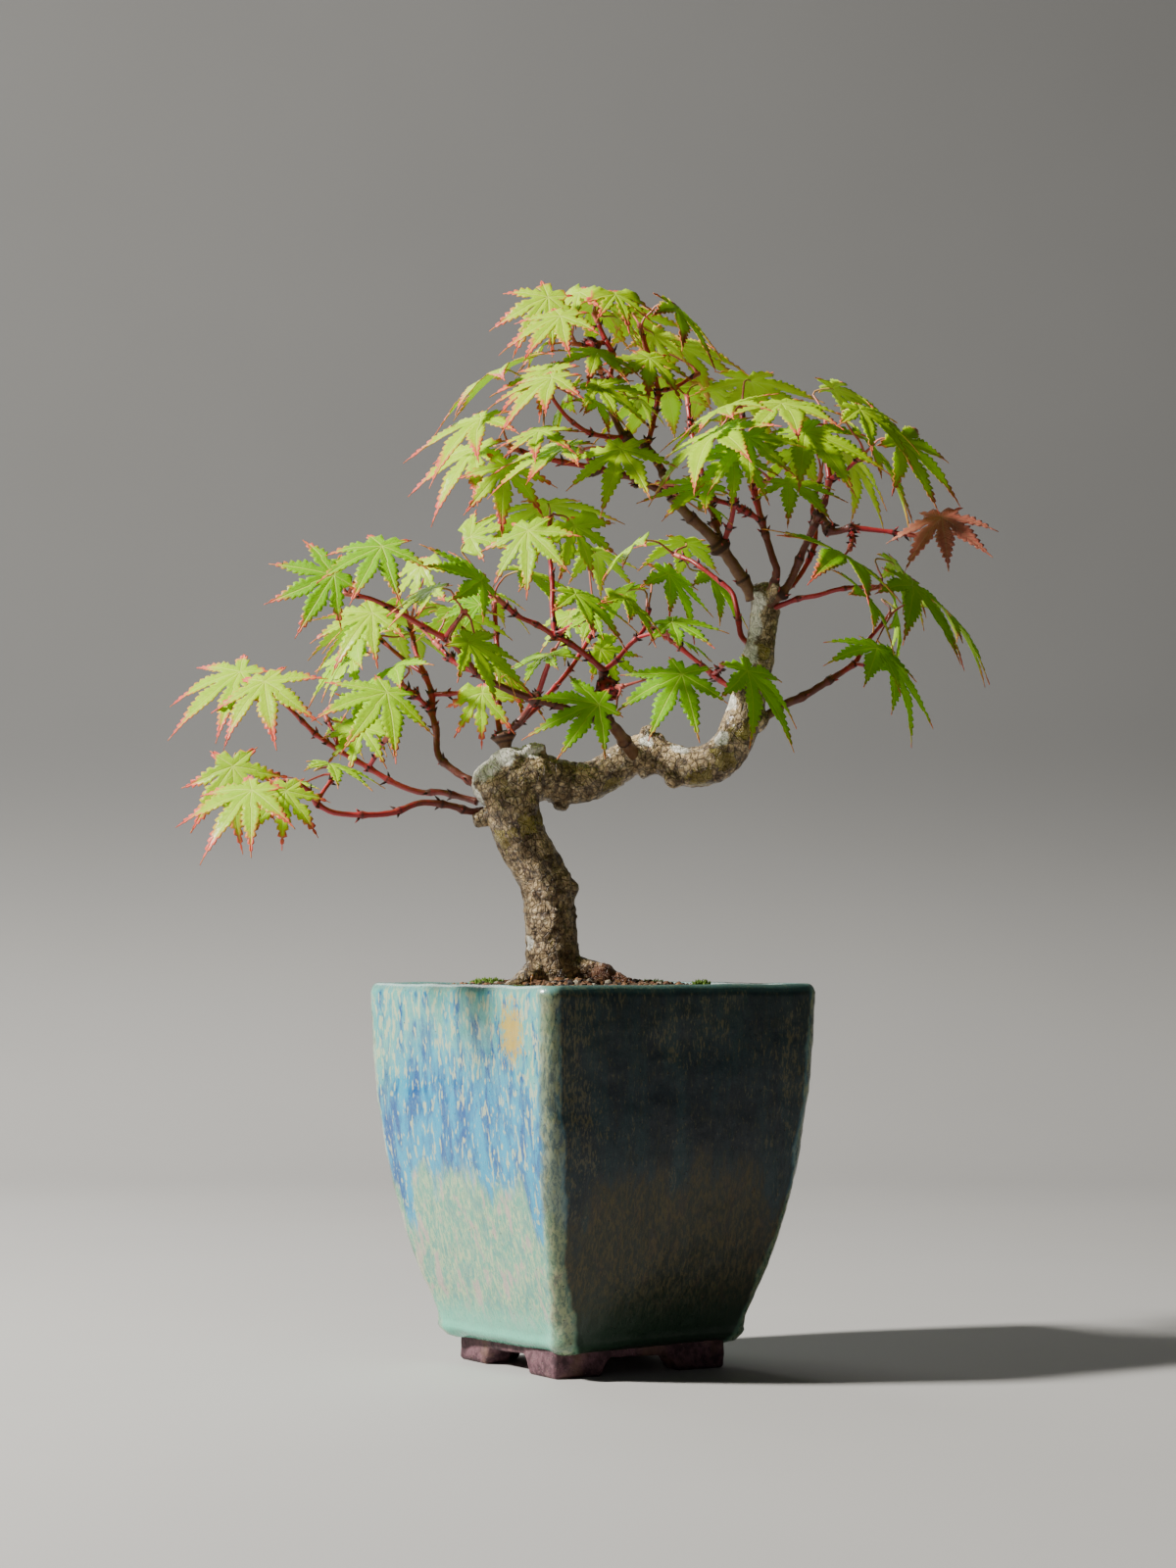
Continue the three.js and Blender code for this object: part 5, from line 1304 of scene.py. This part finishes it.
def blade(outline, draw):
    """A toothed blade in its own frame, as an open sheet with its margin and vein values."""
    lobes = [outline[i] for i in LOBE_TIPS]
    turns = [math.atan2(y, x) for x, y, _ in lobes]
    reaches = [math.hypot(x, y) for x, y, _ in lobes]
    arches = [z / reach ** 2 for (_, _, z), reach in zip(lobes, reaches)]
    notches = [outline[i] for i in NOTCHES]
    seams = [(math.atan2(y, x), math.hypot(x, y)) for x, y, _ in notches]
    seams = [(math.pi, BASE_NOTCH), *seams, (math.pi, BASE_NOTCH)]
    points, margins, veins = [Vector((0, 0, 0))], [(0.0, 0.0)], [(0.0, 0.0)]
    faces = []
    shared = {}

    def put(forward, side, turn, bow, arch, rise, margin, share):
        direction = Vector((math.cos(turn), math.sin(turn), 0))
        lateral = Vector((-math.sin(turn), math.cos(turn), 0))
        p = direction * forward + lateral * (side + bow)
        p.z = arch * forward * forward + rise
        points.append(p)
        margins.append((margin, share))
        veins.append((forward, abs(side)))
        return len(points) - 1

    for lobe, (turn, reach, arch) in enumerate(zip(turns, reaches, arches)):
        rows = [r for r in INNER_ROWS if r < reach - 2]
        while rows[-1] + ROW_STEP < reach - 0.5:
            rows.append(rows[-1] + ROW_STEP)
        rows.append(reach)
        width_share = BASAL_WIDTH if lobe in (0, 6) else LOBE_WIDTH
        widest = reach * width_share * draw.uniform(*WIDTH_RANGE)
        bend = reach * draw.uniform(-LOBE_BEND, LOBE_BEND)
        curl = draw.uniform(*CURL_RANGE)
        grid = []
        for row, r in enumerate(rows):
            share = r / reach
            line = {}
            bow = bend * 4 * share * (1 - share) if r > INNER_ROWS[-1] else 0.0
            for hand in (-1, 1):
                seam = lobe if hand < 0 else lobe + 1
                seam_turn, seam_reach = seams[seam]
                spread = abs((seam_turn - turn + math.pi) % (2 * math.pi) - math.pi)
                if r <= seam_reach:
                    width = r * math.sin(spread)
                    key = (seam % 7 if seam in (0, 7) else seam, row)
                    if key not in shared:
                        mates = [arches[i] for i in (seam - 1, seam) if 0 <= i < 7]
                        shared[key] = put(
                            r, 0.0, seam_turn, 0.0, sum(mates) / len(mates),
                            LOBE_FOLD * width * 0.9, 0.55, share)
                        veins[-1] = (r * math.cos(spread), width)
                        margins[-1] = (0.5, 0.4 * share)
                    edge = shared[key]
                    mid_forward, mid_side = r * math.cos(spread * 0.5), hand * width * 0.5
                else:
                    start = seam_reach * math.sin(spread)
                    t = (r - seam_reach) / (reach - seam_reach)
                    phase = row % len(TOOTH_SHAPE)
                    tooth = TOOTH * TOOTH_SHAPE[phase] * min(1, t * 9) * min(1, (1 - t) * 3.2)
                    tooth *= 1.0 if (row // len(TOOTH_SHAPE)) % 2 else 0.7
                    forward = r + (TOOTH_LEAN if phase == 1 else 0.0) * min(1, (1 - t) * 4)
                    width = max(lobe_width(t, start, widest) + tooth, THINNEST)
                    wavy = 0.5 * noise.noise(Vector((r / 4.5, lobe * 3.1 + hand, curl)))
                    edge = put(
                        forward, hand * width, turn, bow, arch,
                        LOBE_FOLD * width + wavy * min(1, t * 2), 1.0, share)
                    mid_forward, mid_side = r, hand * width * 0.52
                middle = put(
                    mid_forward, mid_side, turn, bow, arch, LOBE_FOLD * abs(mid_side) * 1.2, 0.5, share)
                line[hand] = (middle, edge)
            if row == len(rows) - 1:
                tip_point = put(reach + 0.4, 0.0, turn, bow, arch, 0.0, 1.0, 1.0)
            rib = put(r, 0.0, turn, bow, arch, 0.0, 0.0, share)
            grid.append((line[-1][1], line[-1][0], rib, line[1][0], line[1][1]))
        for a, b in zip(grid, grid[1:]):
            for k in range(4):
                faces.append((a[k], b[k], b[k + 1], a[k + 1]))
        last = grid[-1]
        faces.extend((last[k], tip_point, last[k + 1]) for k in range(4))
        faces.extend((0, grid[0][k], grid[0][k + 1]) for k in range(4))
    return points, faces, margins, veins


def closed_sheet(points, faces, thick):
    """Both faces of a thin sheet, joined round its open edge."""
    count = len(points)
    base = bmesh.new()
    corners = [base.verts.new(p) for p in points]
    for face in faces:
        if len(set(face)) == len(face):
            base.faces.new([corners[i] for i in face])
    base.normal_update()
    base.verts.index_update()
    upper = [p + v.normal * thick / 2 for p, v in zip(points, corners)]
    lower = [p - v.normal * thick / 2 for p, v in zip(points, corners)]
    kept = [tuple(v.index for v in f.verts) for f in base.faces]
    border = []
    for edge in base.edges:
        if len(edge.link_faces) == 1:
            loop = edge.link_loops[0]
            border.append((loop.vert.index, loop.link_loop_next.vert.index))
    base.free()
    shell = kept + [tuple(count + i for i in reversed(face)) for face in kept]
    shell += [(b, a, count + a, count + b) for a, b in border]
    return upper + lower, shell


def side_veins(finish, forward, sideways, low, high):
    """Thin lines that slant outward from the rib."""
    return finish.step((forward - sideways * VEIN_SLANT).folded(VEIN_PITCH), low, high)


leaf = Finish("maple_leaf", IOR=1.42, Coat_Roughness=0.25, Specular_IOR_Level=0.2)
margin, share, tone_level = leaf.parts(leaf.place("margin_at"))
forward, sideways, flush = leaf.parts(leaf.place("vein_at"))
under = leaf.level("under")
skin = leaf.place("leaf_at")
patchy = leaf.cloud(skin, 0.11, 3.0)
grainy = leaf.cloud(skin, 0.9, 4.0, 0.6)
green = leaf.mix(patchy, (0.16, 0.45, 0.001), (0.31, 0.68, 0.002))
yellow = leaf.mix(patchy, (0.42, 0.70, 0.0005), (0.66, 0.88, 0.001))
side_vein = side_veins(leaf, forward, sideways, 0.24, 0.06) * leaf.step(margin, 0.98, 0.7)
veins = leaf.step(sideways, 0.42, 0.12).larger(side_vein * 0.45)
tone = leaf.layers(
    green,
    (tone_level + (patchy - 0.5) * 0.35, 0.1, 0.9, 1, yellow),
    (margin + (grainy - 0.5) * 0.3, 0.1, 0.9, 0.14, (0.20, 0.38, 0.002)))
tone = leaf.mix(veins * 0.6, tone, (0.76, 0.84, 0.16))
# the flush at the lobes' tips, and the thinner one along the edge
tip_blush = share + margin * 0.2 + flush * 0.42 + (patchy - 0.5) * 0.5
edge_blush = margin * 0.8 + flush * 0.45 + share * 0.25 + (grainy - 0.5) * 0.3
blush = leaf.step(tip_blush, 1.06, 1.34).larger(leaf.step(edge_blush, 1.20, 1.42) * 0.8)
tone = leaf.mix(blush, tone, leaf.mix(patchy, (0.66, 0.035, 0.05), (0.84, 0.16, 0.10)))
tone = leaf.mix(under * 0.4, tone, (0.52, 0.62, 0.06))
leaf.feed("Base Color", tone)
leaf.feed("Roughness", 0.36 + 0.16 * grainy + 0.2 * under)
leaf.feed("Coat Weight", 0.2 * (1 - under) * leaf.step(patchy, 0.45, 0.6))
leaf.bump(veins * -0.8 + grainy * 0.5 + side_vein * -0.3, 0.16)
# light that comes through the thin blade
glow = leaf.node("ShaderNodeBsdfTranslucent", {}, {"Color": (0.64, 0.92, 0.001, 1)})
blend = leaf.node("ShaderNodeMixShader", {}, {
    0: 0.38 - blush * 0.26, 1: Sock(leaf, leaf.surface.outputs[0]), 2: glow})
leaf.tree.links.new(blend.link, leaf.tree.nodes["Material Output"].inputs["Surface"])

red_leaf = Finish("bronze_leaf", IOR=1.42, Roughness=0.42, Coat_Roughness=0.3)
share = red_leaf.parts(red_leaf.place("margin_at"))[1]
forward, sideways, _ = red_leaf.parts(red_leaf.place("vein_at"))
patchy = red_leaf.cloud(red_leaf.place("leaf_at"), 0.14, 4.0)
tone = red_leaf.layers(
    red_leaf.mix(patchy, (0.48, 0.075, 0.05), (0.84, 0.34, 0.22)),
    (share, 0.75, 1.0, 1, (0.50, 0.06, 0.05)),
    (sideways, 0.42, 0.12, 0.5, (0.66, 0.36, 0.20)))
red_leaf.feed("Base Color", tone)
red_leaf.feed("Coat Weight", 0.2 * patchy)
red_leaf.bump(side_veins(red_leaf, forward, sideways, 0.3, 0.05) * -0.6 + patchy, 0.2)

stalk = Finish("leaf_stalk", Roughness=0.4, IOR=1.42)
at = stalk.place("leaf_at")
near_blade = stalk.parts(stalk.place("margin_at"))[0]
tone = stalk.layers(
    stalk.mix(stalk.cloud(at, 0.3), (0.42, 0.05, 0.06), (0.60, 0.17, 0.12)),
    (near_blade, 0.35, 1.0, 0.7, (0.45, 0.50, 0.09)))
stalk.feed("Base Color", tone)
stalk.bump(stalk.cloud(at, 1.2), 0.08)

twig_end = {}
for twigs in LIMBS.values():
    for name, _, _, route in twigs:
        before, end = Vector(route[-2]), Vector(route[-1])
        twig_end[name] = (end, (end - before).normalized())
shoot_names = [name[len("shoot_"):] for name in sorted(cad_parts) if name.startswith("shoot_")]
shift = POT_AT / MM
for shoot in shoot_names:
    draw = random.Random(sum(ord(letter) * (place + 3) for place, letter in enumerate(shoot)))
    heap = Heap("leaf_at", "margin_at", "vein_at", "under")
    end, heading = twig_end[shoot]
    stem = [end + shift + heading * run for run, _ in STEM]
    points, faces = tube_mesh(stem, [radius for _, radius in STEM], STEM_SIDES)
    heap.add(points, faces, 1, leaf_at=points, margin_at=NOWHERE, vein_at=NOWHERE, under=0.0)
    finishes = [red_leaf if shoot == "bronze" else leaf, stalk]
    leaves = read_leaves(f"shoot_{shoot}")
    if shoot in YOUNG_SHOOTS:
        # a smaller leaf, just opened, stands beside the last one and a little lower
        choice = random.Random(len(shoot) * 53 + 7)
        heart, along, across, up, outline = leaves[-1]
        turn = Matrix.Rotation(
            math.radians(choice.choice((-1, 1)) * choice.uniform(*YOUNG_TURN)), 3, "Z")
        size = choice.uniform(*YOUNG_SIZE)
        heart = end + shift + turn @ (heart - end - shift) * size - Vector((0, 0, YOUNG_DROP))
        leaves.append((heart, turn @ along * size, turn @ across * size, turn @ up * size, outline))
    for order, (heart, along, across, up, outline) in enumerate(leaves):
        frame_of_leaf = Matrix((along, across, up)).transposed()
        sheet, sheet_faces, margins, vein_places = blade(outline, draw)
        sheet_points, shell = closed_sheet(sheet, sheet_faces, BLADE_THICK)
        high = np.clip((heart.z - CROWN_LOW) / (CROWN_HIGH - CROWN_LOW), 0, 1)
        yellowness = draw.uniform(*YELLOW_RANGE) + 0.35 * high
        if shoot in GREEN_SHOOTS:
            yellowness = draw.uniform(*GREEN_RANGE)
        redness = draw.uniform(*RED_RANGE) + 0.25 * high
        if shoot in PINK_SHOOTS:
            redness = 1.0
            yellowness += 0.15
        placed = [heart + frame_of_leaf @ p for p in sheet_points]
        # each leaf takes its patches from a place of its own
        offset = Vector((order * LEAF_APART[0], LEAF_APART[1] * len(shoot), 0))
        heap.add(
            placed, shell, 0, leaf_at=[p + offset for p in sheet_points],
            margin_at=[(m, s, yellowness) for m, s in margins] * 2,
            vein_at=[(f, w, redness) for f, w in vein_places] * 2,
            under=[0.0] * len(sheet) + [1.0] * len(sheet))
        neck = heart - along * STALK_NECK * math.cos(STALK_LIFT) - up * STALK_NECK * math.sin(STALK_LIFT)
        spoke = (neck - end - shift).normalized()
        outward = (spoke - heading * spoke.dot(heading)) * 0.5
        root = end + shift + heading * draw.uniform(2.0, 4.4) + outward
        sag = Vector((0, 0, 1)) * (neck - root).length * draw.uniform(-0.02, 0.10)
        route = [root, root.lerp(neck, 0.22) + heading * 1.2 + sag * 0.7, root.lerp(neck, 0.6) + sag,
                 neck, heart - along * 2.6 - up * 0.9, heart + along * 0.6 - up * 0.05]
        stops, _, run = smooth_route(route, 2.0)
        shares = run / run[-1]
        radii = np.interp(shares, [where for where, _ in STALK], [radius for _, radius in STALK])
        points, faces = tube_mesh(stops, radii, STALK_SIDES)
        nearness = [(float(where), 0.0, 0.0) for where in shares for _ in range(STALK_SIDES)]
        heap.add(points, faces, 1, leaf_at=points, margin_at=nearness, vein_at=NOWHERE, under=0.0)
    shoot_piece = heap.make(f"leaves_{shoot}", finishes, [p * MM for p in heap.points])
    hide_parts(f"shoot_{shoot}")
    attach(shoot_piece, "root")


# The floor, the light and the camera. A pale floor that curves up into a greyer wall, one
# strong light from the left, and the photograph's low, long view of the near corner.
SWEEP_SIDE = 3.2
SWEEP_FRONT = -3.0
SWEEP_BACK = 1.0
SWEEP_RADIUS = 0.6
SWEEP_TOP = 3.0
SWEEP_STEPS = 16
WORLD_TONE = (0.75, 0.78, 0.82, 1)
WORLD_STRENGTH = 0.028
LIGHTS = [
    # name, place, target, side, power, colour
    ("key", (-1.56, -0.36, 1.42), (0, 0, 0.22), 0.20, 120, (1.0, 0.965, 0.90)),
    ("front", (0.1, -1.9, 0.9), (0, 0, 0.25), 1.2, 0.6, (0.96, 0.97, 1.0)),
    ("back", (-0.5, 1.0, 1.1), (0, 0, 0.32), 0.7, 5, (1.0, 0.98, 0.95)),
]
CAMERA_BACK = 1.365
CAMERA_SIDE = -0.0011
CAMERA_HEIGHT = 0.1677
CAMERA_PITCH = 0.045
CAMERA_LENS = 78.75
CAMERA_NEAR = 0.05
sweep_line = [(SWEEP_FRONT, 0.0), (SWEEP_BACK, 0.0)]
for turn in np.linspace(0, math.pi / 2, SWEEP_STEPS + 1)[1:]:
    sweep_line.append((
        SWEEP_BACK + SWEEP_RADIUS * math.sin(turn), SWEEP_RADIUS * (1 - math.cos(turn))))
sweep_line.append((SWEEP_BACK + SWEEP_RADIUS, SWEEP_TOP))
sweep_finish = Finish("pale_sweep", Roughness=0.75)
at = sweep_finish.node("ShaderNodeTexCoord", {}, {}, "Object")
paper_grain = sweep_finish.cloud(at, 3.0)
height = sweep_finish.parts(at)[2]
floor_tone = sweep_finish.mix(paper_grain, (0.41, 0.405, 0.397), (0.46, 0.455, 0.447))
wall_tone = sweep_finish.mix(paper_grain, (0.160, 0.161, 0.160), (0.182, 0.183, 0.182))
sweep_finish.feed("Base Color", sweep_finish.layers(floor_tone, (height, 0.0, 0.35, 1, wall_tone)))
sweep = make_piece(
    "sweep", [(x, y, z) for y, z in sweep_line for x in (-SWEEP_SIDE, SWEEP_SIDE)],
    [(2 * i, 2 * i + 1, 2 * i + 3, 2 * i + 2) for i in range(len(sweep_line) - 1)],
    [sweep_finish])
sweep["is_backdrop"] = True

world = bpy.data.worlds.new("studio")
bpy.context.scene.world = world
world.use_nodes = True
background = world.node_tree.nodes["Background"]
background.inputs["Color"].default_value = WORLD_TONE
background.inputs["Strength"].default_value = WORLD_STRENGTH
for name, place, target, side, power, colour in LIGHTS:
    data = bpy.data.lights.new(name, "AREA")
    data.shape = "SQUARE"
    data.size = side
    data.energy = power
    data.color = colour
    light = bpy.data.objects.new(name, data)
    bpy.context.scene.collection.objects.link(light)
    light.location = place
    light.rotation_euler = (Vector(target) - Vector(place)).to_track_quat("-Z", "Y").to_euler()

camera = bpy.data.objects.new("camera", bpy.data.cameras.new("camera"))
bpy.context.scene.collection.objects.link(camera)
camera.data.lens = CAMERA_LENS
camera.data.clip_start = CAMERA_NEAR
camera.location = (POT_AT.x + CAMERA_SIDE, POT_AT.y - CAMERA_BACK, CAMERA_HEIGHT)
camera.rotation_euler = (math.pi / 2 + CAMERA_PITCH, 0, 0)
bpy.context.scene.camera = camera

bpy.context.view_layer.update()
low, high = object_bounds()
